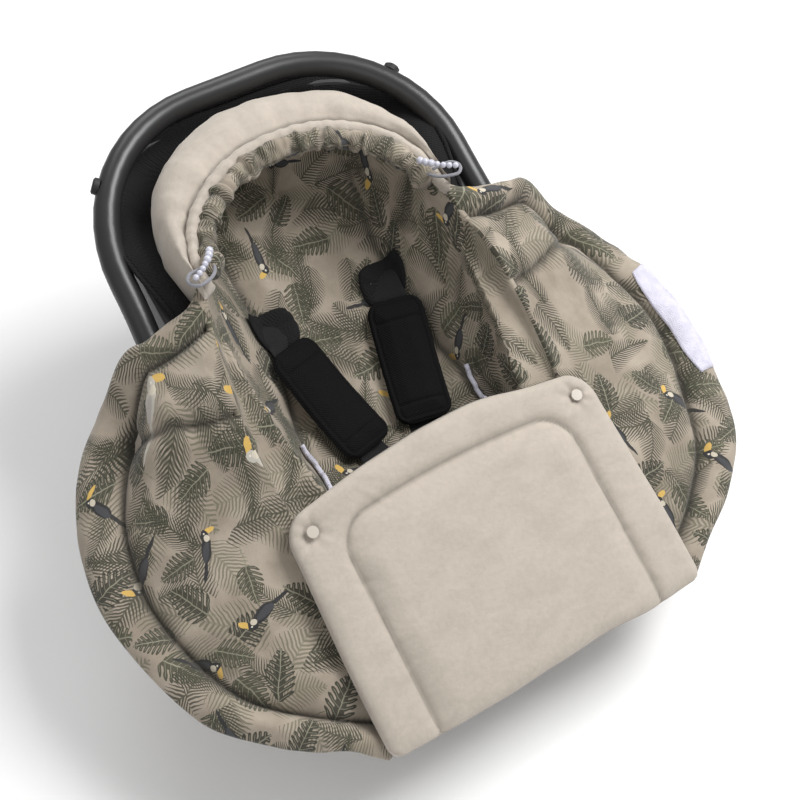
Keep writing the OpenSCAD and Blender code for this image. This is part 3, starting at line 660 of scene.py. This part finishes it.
BEIGE = (0.455, 0.403, 0.345)
M = {
    "print": printed("print_lining"),
    "beige": velour("beige_velour", BEIGE),
    "shell": moulded("shell_plastic", (0.018, 0.0175, 0.019), 0.5, 700),
    "handle": moulded("handle_plastic", (0.02, 0.02, 0.021), 0.36, 1100, 0.00008),
    "hub": moulded("hub_plastic", (0.04, 0.04, 0.042), 0.45, 900),
    "knob": moulded("knob_rubber", (0.012, 0.012, 0.012), 0.6, 1300),
    "foam": moulded("bead_foam", (0.75, 0.75, 0.72), 0.9, 260, 0.0006),
    "black_cloth": knit("black_cloth", (0.010, 0.0095, 0.010)),
    "pad_cloth": knit("pad_cloth", (0.0065, 0.006, 0.0065), 1900.0, cloth=True, sheen=0.0, gloss=0.12),
    "webbing": webbing("webbing_black", (0.010, 0.010, 0.011)),
    "webbing_cad": webbing("webbing_cad", (0.010, 0.010, 0.011), cloth=False),
    "steel": metal("steel", (0.55, 0.56, 0.57)),
    "gear": moulded("gear_plastic", (0.42, 0.30, 0.10), 0.5),
    "blue": moulded("guide_plastic", (0.02, 0.05, 0.22), 0.45),
    "red": moulded("button_red", (0.45, 0.02, 0.015), 0.35),
    "grey": moulded("button_grey", (0.17, 0.17, 0.18), 0.45),
    "rubber": moulded("rubber", (0.015, 0.015, 0.015), 0.8),
    "snap": moulded("snap_enamel", (0.50, 0.45, 0.39), 0.3),
    "piping": knit("piping_cloth", (0.66, 0.645, 0.74), 2600.0, cloth=True, sheen=0.3),
    "cord": knit("cord_cloth", (0.27, 0.27, 0.30), 3000.0, cloth=True, sheen=0.3),
    "bead": moulded("bead_glaze", (0.52, 0.52, 0.60), 0.22, vary=0.3, Coat_Weight=0.6),
}


def loop_tape(name, color):
    n = Net(name)
    at = n.cloth()
    hooks = n.node("ShaderNodeTexVoronoi", voronoi_dimensions="2D", feature="F1")
    n.put(hooks.inputs["Vector"], at)
    hooks.inputs["Scale"].default_value = 900
    cloud = n.noise(at, 60, 4, 0.65)
    shade = n.color(tint(color, 0.82), color, n.step(cloud, 0.3, 0.65))
    height = n.add(hooks.outputs["Distance"], n.mul(cloud, 2.0))
    return n.finish(shade, 0.92, n.bump(height, 0.0007), Sheen_Weight=0.3)


M["tape"] = loop_tape("loop_tape", (0.70, 0.68, 0.80))

CAD_LOOK = {
    "shell": ["seat_shell", "outer_shell", "rim_trim", "bottom_cover", "adapter_socket_left",
              "adapter_socket_right", "buckle_body", "adjuster_housing"],
    "handle": ["handle_tube"],
    "hub": ["hub_left", "hub_right", "hub_cap_left", "hub_cap_right", "pivot_boss_left",
            "pivot_boss_right"],
    "knob": ["handle_button_left", "handle_button_right"],
    "foam": ["foam_liner"],
    "steel": ["bottom_screws", "yoke_plate", "pivot_pin_left", "pivot_pin_right", "lock_spring_left",
              "lock_spring_right", "tongue_left", "tongue_right"],
    "gear": ["lock_gear_left", "lock_gear_right"],
    "blue": ["belt_guide_left", "belt_guide_right", "rear_belt_guide"],
    "red": ["buckle_button"],
    "grey": ["adjuster_button"],
    "rubber": ["rubber_feet"],
    "snap": ["snap_caps"],
    "webbing_cad": ["crotch_strap", "adjuster_strap", "lap_strap_left", "lap_strap_right"],
}
for look, names in CAD_LOOK.items():
    for name in names:
        obj = nodes[name]
        obj.data.materials.clear()
        obj.data.materials.append(M[look])
        shade_smooth(obj.data)
        weld = obj.modifiers.new("weld", "WELD")
        weld.merge_threshold = 0.00002
        split = obj.modifiers.new("split", "EDGE_SPLIT")
        split.split_angle = 32 * DEG


def set_piece(obj, body, slot, *stands_for, pad=None):
    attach(obj, body)
    if stands_for:
        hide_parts(*stands_for)
    return obj


# ---- the seat's black cover --------------------------------------------------------

def seat_cover():
    a = np.linspace(0, 2 * math.pi, 145)[:-1]
    s = np.concatenate([np.linspace(0.02, 0.9, 20), np.linspace(0.92, 1.0, 7)])
    aa, ss = np.meshgrid(a, s, indexing="ij")
    top = bucket_point(COVER_LIFT, aa, ss)
    out = np.stack([np.cos(a), np.sin(a), 0 * a], -1)[:, None]
    # the cover's hem rolls over the inner edge of the rim, and stands out from it at the head end
    edge = top[:, -1]
    rim = bucket_point(3, a, np.ones_like(a)) + 6 * UP
    rows = [top]
    for t in np.linspace(0, 1, 8)[1:]:
        p = mix(edge, rim, t)[:, None]
        head_side = smooth((p[..., 1] - 40) / 120)[..., None]
        arch = mix(9, 7, head_side) * math.sin(math.pi * min(1, t * 1.05)) + 10 * t * head_side
        rows.append(p + out * 19 * t * head_side + arch * UP)
    top = np.concatenate(rows, 1)
    wave = folds(top[..., 0] / 34, top[..., 1] / 34, 3) * 1.3 * smooth((top[..., 1] - 20) / 120)
    normal = upward_normals(top)
    top = top + normal * wave[..., None]
    obj = round_sheet("black_cover", top, top - normal * 3.5, top[..., :2], M["black_cloth"], hole=True)
    set_piece(obj, "seat", "cover_black", "seat_cover", pad=0.3)
    behind = np.sin(a) > -0.15
    hem = top[:, -1][behind] + UP
    order = np.argsort((a[behind] + math.pi / 2) % (2 * math.pi))
    set_piece(tube("cover_piping", hem[order], 2.4, 12, M["black_cloth"]), "seat", "cover_black")


# ---- the padded wrap ------------------------------------------------------------------

# The wrap's crest: where its lining turns from the bucket over the rim (x for the right side, y, z).
CREST = [(136, 66, 340), (150, 22, 314), (160, -30, 286), (164, -80, 252), (162, -140, 214), (158, -200, 184),
         (158, -260, 157), (168, -330, 129), (184, -374, 112)]
# The wing's outer edge from its head end to its foot end.
WING_EDGE = [(141, 66, 342), (163, 52, 328), (190, 50, 313), (218, 46, 303), (252, 50, 268), (304, 28, 230),
             (338, -16, 208), (358, -68, 188), (362, -145, 170), (330, -258, 150),
              (276, -318, 138), (222, -352, 128),
              (188, -376, 112)]


CHANNEL = 46        # how far the channel seam lies inside a wing's outer edge


def wing_rows(n, m):
    root = even(curve_through(CREST, 400), n)
    edge = even(curve_through(WING_EDGE, 500), n)
    u = np.linspace(0, 1, m)[:, None]
    p = np.stack([mix(a, b, u) for a, b in zip(root, edge)])
    drop = (root[:, 2] - edge[:, 2])[:, None]
    p[..., 2] = root[:, None, 2] - drop * (u[:, 0][None, :] ** 1.35)
    x, y = p[..., 0], p[..., 1]
    # the hub and the handle's leg hold the padding up
    leg = 288 + 0.6 * np.clip(y, 0, 75)
    past = np.hypot(np.clip(x - 224, 0, None), np.clip(-20 - y, 0, None)) + np.clip(176 - x, 0, None) * 0.5
    leg = leg - past ** 1.5 / 5
    z = p[..., 2]
    blend = 18
    p[..., 2] = 0.5 * (z + leg + np.sqrt((z - leg) ** 2 + blend ** 2)) - 4
    return p


def seam_valley(d, width, depth):
    return -depth * np.exp(-np.abs(d) / width)


def wing(side):
    """side is 1 for the right wing and -1 for the left."""
    n, m = 150, 110
    p = wing_rows(n, m)
    normal = upward_normals(p)
    across = np.linalg.norm(np.diff(p, axis=1), axis=-1)
    across = np.concatenate([np.zeros((n, 1)), np.cumsum(across, axis=1)], 1)
    along = np.linalg.norm(np.diff(p, axis=0), axis=-1)
    along = np.concatenate([np.zeros((1, m)), np.cumsum(along, axis=0)], 0)
    length = along[-1:].mean()
    to_edge = across[:, -1:] - across
    v = np.linspace(0, 1, n)[:, None] * np.ones((1, m))
    ends = np.minimum(along, along[-1:] - along)
    round_off = rounded(np.minimum(to_edge, ends + 2), 16)
    # seams: a channel along the outer edge, a cross seam near the head and a shallow one near the foot
    channel = to_edge - (CHANNEL + 5 * np.sin(v * 9 + side))
    cross = (v - 0.27 - 0.05 * np.sin(across / 60)) * length
    second = (v - 0.68 + 0.04 * np.sin(across / 45 + 1)) * length
    inner = smooth((to_edge - CHANNEL + 6) / 14)
    h = seam_valley(channel, 5, 11) + 5.0 * (1 - np.exp(-np.abs(channel) / 16))
    h = h + seam_valley(cross, 6, 10) * inner
    h = h + seam_valley(second, 14, 3.5) * inner * smooth((across - 30) / 40)
    # painted shade along the bottoms of the channel and cross seams
    painted_shade = np.exp(-(channel / 3.2) ** 2) + np.exp(-(cross / 3.2) ** 2) * inner
    # puckers beside the seams
    pleat = 0.5 + 0.5 * value_noise(v * 34 + 7 * side, across / 90 + 3, 5)
    near_channel = np.exp(-np.abs(channel) / 22) * np.sin(np.clip(np.abs(channel) / 22, 0, math.pi))
    gathers = pleat ** 2 * near_channel
    pleat = 0.5 + 0.5 * value_noise(across / 17 + 4 * side, v * 6, 9)
    h = h - 6.5 * gathers - 6.0 * pleat ** 2 * np.exp(-np.abs(cross) / 26) * inner
    big = folds(p[..., 0] / 75 + side, p[..., 1] / 75, 11) * 4.5
    fine = folds(p[..., 0] / 27, p[..., 1] / 27 + 4 * side, 21) * 1.5
    h = h + (big + fine) * smooth(to_edge / 25) * smooth(across / 20)
    crown = 4.5 * np.sin(np.clip(to_edge / CHANNEL, 0, 1) * math.pi) * (to_edge < CHANNEL)
    body = 3.0 * smooth((to_edge - CHANNEL) / 50)
    thick = 17.0
    top = p + normal * ((h + crown + body) * round_off)[..., None]
    low = p - normal * (thick * round_off[..., None] + 1.0)
    low = mix(p - normal * 2.0, low, round_off[..., None])
    wave_edge = folds(v * 20, 0 * v + side, 31) * 4.0 * np.exp(-to_edge / 30) * smooth(ends / 40)
    top[..., 2] += wave_edge
    low[..., 2] += wave_edge
    mirror = np.array([side, 1, 1.0])
    top, low = top * mirror, low * mirror
    cloth = np.stack([side * (160 + across) + 40, p[..., 1]], -1)
    # more painted shade in the valleys and the gathers
    painted_shade = painted_shade + 0.5 * np.clip(-h / 16, 0, 1) + 0.35 * gathers
    name = "wing_pad_right" if side > 0 else "wing_pad_left"
    obj = shell(name, top, low, cloth, [M["print"], M["beige"]], flip=side > 0, seam_shade=painted_shade)
    return obj, top


def lining():
    """The wrap's lining inside the bucket, from the crest down to the back and the seat."""
    right = even(curve_through(CREST, 400), 130)[::-1]      # foot to head
    arc = np.linspace(0, math.pi, 90)[1:-1]
    head = np.stack([136 * spow(np.cos(arc), 0.86), 66 + 158 * spow(np.sin(arc), 0.8),
                     340 + 14 * np.sin(arc)], -1)
    left = (right * np.array([-1, 1, 1]))[::-1]
    foot_x = np.linspace(-184, 184, 60)[1:-1]
    foot = np.stack([foot_x, -374 + 0 * foot_x, FOLD_Z + 0 * foot_x], -1)
    ring = np.concatenate([right, head, left, foot])
    spine_y = np.clip(ring[:, 1], -330, 150)
    spine = np.stack([0 * spine_y, spine_y], -1)
    s = np.linspace(0, 1, 60) ** 0.85
    xy = mix(spine[:, None], ring[:, None, :2], s[None, :, None])
    x, y = xy[..., 0], xy[..., 1]

    def base(y):
        level = mix(surface_z(np.array(-240.0)), 113.0, smooth((-240 - y) / 130))
        return np.where(y > -240, surface_z(y), level)

    edge_gap = ring[:, 2] - base(ring[:, 1])
    steep = mix(2.2, 4.6, smooth((ring[:, 1] + 300) / 160))
    z = base(y) + edge_gap[:, None] * s[None, :] ** steep[:, None]
    # stay above the seat's own cover
    head_side = y > RIM_MID_Y
    power = np.where(head_side, HEAD_POWER, FOOT_POWER)
    inset = WALLS + LAYERS - 9
    reach = np.where(head_side, HEAD_REACH, FOOT_REACH) - inset
    share = (np.abs(x) / (RIM_HALF_W - inset)) ** power + (np.abs(y - RIM_MID_Y) / reach) ** power
    share = share ** (1 / power)
    wall = np.maximum(0, rim_z(y) - pan_height(y) - LAYERS)
    floor = pan_height(y) + LAYERS - 5 + wall * np.clip(share, 0, 1.0) ** 5
    floor = np.where(share <= 1.0, floor, rim_z(y) + 14)
    z = np.maximum(z, np.where(share < 1.25, floor, z))
    z = z - 8 * np.exp(-(x / 34) ** 4 - ((y - ADJUSTER_Y) / 30) ** 4)      # the well round the adjuster
    top = np.stack([x, y, z], -1)
    normal = upward_normals(top)
    arc_len = np.cumsum(np.linalg.norm(np.diff(top, axis=1), axis=-1), axis=1)
    arc_len = np.concatenate([np.zeros((len(ring), 1)), arc_len], 1)
    way = ring[:, :2] - spine
    way = way / np.maximum(np.linalg.norm(way, axis=1, keepdims=True), 1e-6)
    cloth = spine[:, None] + way[:, None] * arc_len[..., None]
    cloth[..., 0] += 40
    # the corners between the backrest and the sides, and soft puckers
    corner_x = mix(98.0, 79.0, smooth((y + 70) / 120)) + 6 * smooth((y - 90) / 80)
    corner = np.abs(np.abs(x) - corner_x)
    in_reach = smooth((y + 190) / 60) * smooth((205 - y) / 60)
    h = (-9.0 * np.exp(-corner / 8) + 4 * np.exp(-((corner - 26) / 14) ** 2)) * in_reach
    # painted shade in the corners between the backrest and the sides
    painted_shade = np.exp(-(corner / 3.4) ** 2) * in_reach
    pull = value_noise(y / 17 + np.sign(x) * 4, x / 60, 41)
    h = h + 3.6 * pull * np.exp(-corner / 26) * smooth((y + 150) / 60)
    soft = folds(x / 46, y / 46, 51) * 1.9 + folds(x / 19, y / 19, 57) * 0.6
    h = h + soft * smooth((1 - s[None, :]) / 0.1)
    top = top + normal * h[..., None]
    obj = round_sheet("wrap_lining", top, top - normal * 6.0, cloth, M["print"], flip=True, seam_shade=painted_shade)
    set_piece(obj, "seat", "print_lining", "wrap_back", pad=0.5)
    return top.reshape(-1, 3)


def on_lining(x, y, lift):
    """Points lift above the lining at (x, y)."""
    x, y = np.broadcast_arrays(np.asarray(x, float), np.asarray(y, float))
    z = []
    for at in np.stack([x.ravel(), y.ravel()], -1):
        d = np.hypot(*(LINING[:, :2] - at).T)
        near = np.argsort(d)[:8]
        z.append(LINING[near, 2].max())
    z = np.array(z).reshape(x.shape)
    return np.stack([x, y, z + lift], -1)


def hood_lip(a):
    """The hood's opening, from its right end over the top to its left end."""
    return np.stack([HOOD_HALF_W * np.cos(a), HOOD_END_Y + HOOD_DEPTH * np.sin(a),
                     HOOD_END_Z + HOOD_RISE * np.sin(a)], -1)


def hood():
    """One continuous padded sheet: velour outside, print inside, with a rolled edge along the opening."""
    # out from the opening's edge, and up
    section = [(34, -52), (26, -34), (14, -18), (3, -8), (-3, -1), (-1, 6), (5, 10), (11, 8), (14, 4.5),
               (18, 8),
               (28, 13), (42, 12), (55, 2), (64, -16), (67, -38), (66, -60), (60, -70), (48, -66), (40, -58)]
    m = 110
    sec = curve_through(section, m)
    a = np.linspace(-6 * DEG, 186 * DEG, 200)
    s_a = np.clip(np.sin(a), 0, 1)
    roll_r = 14
    reach = 16 + 74 * s_a ** 1.4 * (1 - 0.12 * np.cos(a))
    fill = (reach - roll_r) / 52
    lip = hood_lip(np.clip(a, 0, math.pi))
    lip[:, 1] += np.where(a < 0, a * 130, np.where(a > math.pi, (math.pi - a) * 130, 0))
    out = np.stack([np.cos(a), np.sin(a), 0 * a], -1)
    t = np.linspace(0, 1, m)[None, :] * np.ones((len(a), 1))
    aa = a[:, None] * np.ones((1, m))
    rolled = (sec[:, 0] < 13) & (sec[:, 1] > -9)
    wrinkle = folds(aa * 16, t * 2.5, 61) * 1.0
    dome = folds(aa * 5.0, t * 5.0, 67) * 2.2 + folds(aa * 11.0, t * 7.0, 71) * 0.9
    lumps = np.where(rolled[None, :], wrinkle, dome) * smooth(np.minimum(t, 1 - t) / 0.05)
    r = sec[None, :, 0]
    thin = mix(0.75, 1, s_a)[:, None]
    sec_r = np.where(r < roll_r, r * thin, roll_r * thin + (r - roll_r) * fill[:, None])
    sec_z = sec[None, :, 1] * mix(0.9, 1.0, s_a)[:, None]
    p = lip[:, None] + sec_r[..., None] * out[:, None] + sec_z[..., None] * UP
    ds, dn = np.gradient(sec[:, 0]), np.gradient(sec[:, 1])
    length = np.hypot(ds, dn)
    nr, nz = -dn / length, ds / length
    normal = nr[None, :, None] * out[:, None] + nz[None, :, None] * UP
    p = p + normal * lumps[..., None]
    n = len(a)
    cloth = np.stack([(aa - math.pi / 2) * 150 + 40, 400 + lengths(sec)[None, :] * np.ones((n, 1))], -1)
    # painted shade in the groove behind the rolled edge
    groove = np.exp(-((sec[:, 0] - roll_r) ** 2 + (sec[:, 1] - 4.5) ** 2) / 6)
    painted_shade = groove[None, :] * np.ones((n, 1)) * 0.8
    obj = new_mesh("hood_cloth", p.reshape(-1, 3), capped(n, m), cloth.reshape(-1, 2), painted_shade)
    obj.data.materials.append(M["beige"])
    obj.data.materials.append(M["print"])
    inner = (sec[:, 0] < 36) & (sec[:, 1] < -3)
    mid = inner & np.roll(inner, -1)
    index = np.zeros(len(obj.data.polygons), np.int32)
    quads = (n - 1) * m
    index[:quads] = np.tile(mid.astype(np.int32), n - 1)
    obj.data.polygons.foreach_set("material_index", index)
    return set_piece(obj, "seat", "beige_velour", "wrap_hood", pad=0.5)


def casing():
    """The gathered band of lining round the opening, with the drawcord inside it."""
    n, m = 520, 28
    a = np.linspace(0, math.pi, n)
    inward = np.stack([-np.cos(a), -np.sin(a), 0 * a], -1)
    centre = hood_lip(a) + 9.5 * inward + UP
    t = np.linspace(0, 2 * math.pi, m, endpoint=False)
    arc = a * 130
    gather = value_noise(arc / 5.5, 0 * arc, 81)[:, None] * 2.4
    gather = gather + value_noise(arc[:, None] / 8.0, t[None, :] * 1.2, 87) * 2.2
    slow = value_noise(arc / 30, 0 * arc, 91)[:, None] * 1.2
    r = (10.0 + gather + slow) * mix(0.55, 1.0, smooth(np.minimum(a, math.pi - a) / 0.10))[:, None]
    p = centre[:, None] + (r * np.cos(t))[..., None] * inward[:, None] * 1.05
    p = p + (r * 1.1 * np.sin(t))[..., None] * UP
    cloth = np.stack([np.repeat(arc * 1.35, m), 700 + np.tile(t * 10, n)], -1)
    # painted shade in the hollows between the gathers
    painted_shade = 0.75 * smooth(-gather / 4) * np.ones((n, m))
    obj = new_mesh("gathered_casing", p.reshape(-1, 3), capped(n, m, flip=True), cloth, painted_shade)
    obj.data.materials.append(M["print"])
    return set_piece(obj, "seat", "print_lining", "hood_casing", pad=0.4)


def on_flap(x, y, h):
    """A point of the flap: x across it, y from its fold and h up from its underside."""
    c, s = math.cos(FLAP_SLOPE), math.sin(FLAP_SLOPE)
    return np.stack([x, FOLD_Y + y * c - h * s, FOLD_Z + y * s + h * c], -1)


def foot_flap():
    corner_r, fold_r, narrow = 34.0, 14.0, 0.035
    uu, vv = np.meshgrid(np.linspace(-1, 1, 150), np.linspace(0, 1, 110), indexing="ij")
    # a rectangle with rounded corners, mapped from the square
    y = FLAP_L * vv
    corner = np.clip((y - (FLAP_L - corner_r)) / corner_r, 0, 1)
    fold_corner = np.clip((fold_r - y) / fold_r, 0, 1)
    half = FLAP_W / 2 - corner_r * (1 - np.sqrt(1 - corner ** 2)) - 10 * (1 - np.sqrt(1 - fold_corner ** 2))
    edge_wave = 2.5 * value_noise(uu * half / 60, 0 * uu, 101)
    flat_y = y
    half = half * (1 - narrow * smooth((vv - 0.2) / 0.8))
    x = uu * half
    y = y + edge_wave * (smooth((vv - 0.9) / 0.1) + smooth((0.1 - vv) / 0.1))
    y = y + 19 * (1 - uu ** 2) * smooth((vv - 0.35) / 0.65) ** 0.8
    to_side = half - np.abs(x)
    fat = rounded(np.minimum(np.minimum(to_side, FLAP_L - flat_y), flat_y + 3), 17)
    # the quilted panel's seam: down both sides and across the head, open at the fold
    panel_half_w, panel_r, panel_in = 134.0, 34.0, 40
    qx = np.abs(x) - (panel_half_w - panel_r)
    qy = flat_y - (FLAP_L - panel_in - panel_r)
    outside = np.hypot(np.maximum(qx, 0), np.maximum(qy, 0)) + np.minimum(np.maximum(qx, qy), 0) - panel_r
    # painted shade along the panel's seam
    painted_shade = 0.8 * np.exp(-(outside / 1.8) ** 2)
    tug = value_noise(np.arctan2(y - 110, x) * 14, 0 * x, 107) ** 2
    h = seam_valley(outside, 4.5, 6.5) - 1.4 * tug * np.exp(-np.abs(outside) / 12)
    h = h + 4.5 * smooth(-outside / 28)
    h = h + folds(x / 70, y / 70, 111) * 1.8 + folds(x / 28, y / 28, 113) * 0.5
    # dimples and puckers at the two snaps, with painted shade in a ring round each dimple
    for side in (-1, 1):
        dx, dy = x - side * 157, y - (FLAP_L - 25)
        d = np.hypot(dx, dy)
        turn = np.arctan2(dy, dx)
        painted_shade = painted_shade + 0.5 * np.exp(-((d - 7.5) / 1.6) ** 2)
        h = h - 5.6 * np.exp(-(d / 9) ** 2)
        h = h - 1.6 * (0.5 + 0.5 * np.sin(turn * 7 + side)) * np.exp(-(d - 12) ** 2 / 90)
    top = on_flap(x, y, 10 + (10 + h) * fat)
    low = on_flap(x, y, 10 - 9.5 * fat)
    cloth = np.stack([x, y + 900], -1)
    obj = shell("flap_pad", top, low, cloth, [M["beige"], M["print"]], seam_shade=painted_shade)
    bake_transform(obj)
    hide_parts("foot_flap", "flap_panel")
    return obj


# ---- harness -------------------------------------------------------------------------

def pad_point(t, lift):
    x, y = mix(PAD_TOP[0], PAD_LOW[0], t), mix(PAD_TOP[1], PAD_LOW[1], t)
    return np.stack([x, y, surface_z(y) + lift], -1)


def shoulder_pad(side):
    n, m = 90, 50
    t = np.linspace(0.0, 0.99, n)
    path = pad_point(t, 0 * t + 15 + 5 * (1 - t))
    lean = mix(np.array([-0.2, 0, 1.0]), np.array([-0.08, 0, 1.0]), t[:, None])
    across, up = cross_ways(path, lean)
    length = np.linalg.norm(path[-1] - path[0])
    d_end = np.minimum(t, t[-1] - t) * length
    corner_r = 16.0
    half = PAD_HALF_W - corner_r * (1 - rounded(d_end, corner_r))[:, None]
    w = half * np.linspace(-1, 1, m)[None, :]
    rim = np.minimum(half - np.abs(w), d_end[:, None])
    fat = rounded(rim, 6.5)
    along = (t * length)[:, None] * np.ones((1, m))
    bind = -1.8 * np.exp(-((rim - 6.0) / 1.3) ** 2)
    stitch = sum(-2.2 * np.exp(-((along - c) / 1.8) ** 2) for c in (24, length - 24)) * (rim > 7)
    crown = 3.6 * smooth((rim - 5) / 18)
    h = (bind + stitch + crown + folds(along / 26, w / 26, 121 + side) * 0.6) * fat
    middle = path[:, None] + across[:, None] * w[..., None]
    top = middle + up[:, None] * (5.5 * fat + h)[..., None]
    low = middle - up[:, None] * (5.0 * fat)[..., None]
    mirror = np.array([side, 1, 1.0])
    cloth = np.stack([along, w], -1)
    name = "right" if side > 0 else "left"
    obj = shell("strap_pad_" + name, top * mirror, low * mirror, cloth, [M["pad_cloth"]], flip=side < 0)
    return set_piece(obj, "seat", "pad_black", "shoulder_pad_" + name, pad=0.7)


def shoulder_strap(side):
    # x and y of the strap's middle line, and its height above the wrap
    route = [(68, 98, -46), (68, 84, -22), (68, 76, -2), (68, 68, 8), (67, 52, 12), (66, 38, 12), (58, 6, 7),
             (50, -26, 6), (42, -58, 5), (34, -90, 5), (26, -122, 8)]
    knots = [(x, y, float(surface_z(y)) + lift) for x, y, lift in route]
    knots.append((22, -149, float(surface_z(BUCKLE_Y)) + 25))
    path = curve_through(knots, 120)
    t = np.linspace(0, 1, 120)[:, None]
    up = mix(np.array([0, 0.9, 0.5]), np.array([-0.2, 0.1, 1.0]), smooth(t / 0.35))
    mirror = np.array([side, 1, 1.0])
    name = "right" if side > 0 else "left"
    obj = band("harness_strap_" + name, path * mirror, up * mirror, 38, 1.8, M["webbing"])
    return set_piece(obj, "seat", "webbing_black", "shoulder_strap_" + name)


seat_cover()
LINING = lining()
for side, name in ((1, "right"), (-1, "left")):
    obj, top = wing(side)
    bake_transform(obj)
    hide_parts("wing_" + name)
    shoulder_pad(side)
    shoulder_strap(side)
    if side > 0:
        right_top = top
hood()
casing()
foot_flap()


def closure_patch():
    """Loop tape on the right wing's outer edge, lying on its padding."""
    n = len(right_top)
    covered = np.arange(int(n * 0.43), int(n * 0.64))
    wide = np.linspace(0, 1, 12)
    t = np.linspace(0, 1, len(covered))
    inner = 43 * np.sqrt(np.clip(1 - (2 * t - 1) ** 2 * 0.55, 0, 1)) - 6
    rows, flat = [], []
    for k, row in enumerate(covered):
        line = right_top[row]
        s = lengths(line)
        at = s[-1] - 5 - wide * inner[k]
        rows.append(np.stack([np.interp(at, s, line[:, c]) for c in range(3)], -1))
        flat.append(np.stack([0 * at + k * 4.0, at], -1))
    top = np.array(rows)
    normal = upward_normals(top)
    obj = shell("loop_patch", top + normal * 1.6, top - normal * 0.6, np.array(flat), [M["tape"]])
    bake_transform(obj)
    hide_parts("closure_patch")


closure_patch()


def harness_opening(side):
    """The opening in the wrap that shows the black cover, where the shoulder strap comes through."""
    name = "right" if side > 0 else "left"
    n = 48
    turn = np.linspace(0, 2 * math.pi, n, endpoint=False)
    rings, flat = [], []
    for k in (1.0, 0.82, 0.5, 0.02):
        x = 68 + 26 * k * spow(np.cos(turn), 0.6)
        y = 62 + 20 * k * spow(np.sin(turn), 0.8)
        rings.append(on_lining(side * x, y, 1.2 + 1.8 * (k > 0.7)))
        flat.append(np.stack([x, y], -1))
    rings = np.array(rings)
    low = rings[0] - np.array([0, 0, 6.0])
    points = np.concatenate([rings.reshape(-1, 3), low])
    faces = [list(f) for f in grid_faces(4, n, wrap=True, flip=side < 0)]
    ring = np.arange(n)
    skirt = np.stack([4 * n + ring, 4 * n + (ring + 1) % n, (ring + 1) % n, ring], -1)
    faces += [list(f) for f in (skirt if side > 0 else skirt[:, ::-1])]
    obj = new_mesh("harness_opening_" + name, points, faces, points[:, :2])
    obj.data.materials.append(M["black_cloth"])
    return set_piece(obj, "seat", "cover_black")


harness_opening(1)
harness_opening(-1)


def slot_trim(side):
    """The bound slot in the wrap's side, with its white piping."""
    name = "right" if side > 0 else "left"
    y = np.linspace(-58, -124, 40)
    x = 104 + 4 * np.sin((y + 58) / 66 * math.pi)
    obj = tube("slot_piping_" + name, on_lining(side * x, y, 1.4), 2.8, 12, M["piping"])
    return set_piece(obj, "seat", "loop_tape", "slot_binding_" + name)


slot_trim(1)
slot_trim(-1)


# ---- springs behind the lock gears ---------------------------------------------------

def coil_spring(side, name):
    """The spring that the gear presses together as its button goes in, built here at one fixed length."""
    turn = np.linspace(0, 6 * math.pi, 109)
    coil_r = 10
    x = side * np.linspace(201.1, 210.8, 109)
    path = np.stack([x, coil_r * np.cos(turn), PIVOT_Z + coil_r * np.sin(turn)], -1)
    obj = tube("coil_spring_" + name, path, 0.78, 10, M["steel"])
    set_piece(obj, "seat", "steel", "lock_spring_" + name)
    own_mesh(obj)


coil_spring(1, "right")
coil_spring(-1, "left")


# ---- drawcords ---------------------------------------------------------------------------

for side, name in ((1, "right"), (-1, "left")):
    path = curve_through(CORD, 90) * np.array([side, 1, 1.0])
    line = tube("cord_loop_" + name, path, CORD_D / 2, 12, M["cord"])
    set_piece(line, "seat", "cord_grey", "drawcord_" + name)
    beads = []
    for k, at in enumerate(even(curve_through(BEAD_ROW, 60), BEADS)):
        beads.append(ball("bead", (side * at[0], at[1], at[2]), 4.1 if k < 3 else 3.3, M["bead"], 16))
    lock = join("beaded_stopper_" + name, beads)
    set_piece(lock, "seat", "stopper_silver", "cord_stopper_" + name)


# ---- floor and light ------------------------------------------------------------------------

def studio():
    bpy.ops.mesh.primitive_plane_add(size=16, location=(0, 0, 0))
    floor = bpy.context.object
    floor.name = "floor"
    n = Net("floor_paper")
    n.finish((0.93, 0.93, 0.93), 0.9)
    floor.data.materials.append(n.mat)
    world = bpy.data.worlds.new("studio")
    scene.world = world
    world.use_nodes = True
    world.node_tree.nodes["Background"].inputs[0].default_value = (1, 1, 1, 1)
    world.node_tree.nodes["Background"].inputs[1].default_value = 0.42
    for name, at, size, power in (("key", (1.3, -0.3, 2.2), 1.1, 56), ("fill", (-1.5, -1.5, 1.7), 2.0, 11),
                                  ("back", (0.4, 2.0, 2.2), 1.6, 26)):
        light = bpy.data.objects.new(name, bpy.data.lights.new(name, "AREA"))
        light.data.size = size
        light.data.energy = power
        light.location = at
        light.rotation_mode = "QUATERNION"
        light.rotation_quaternion = (Vector((0, 0, 0.15)) - Vector(at)).to_track_quat("-Z", "Y")
        scene.collection.objects.link(light)


studio()
scene.view_settings.view_transform = "Standard"
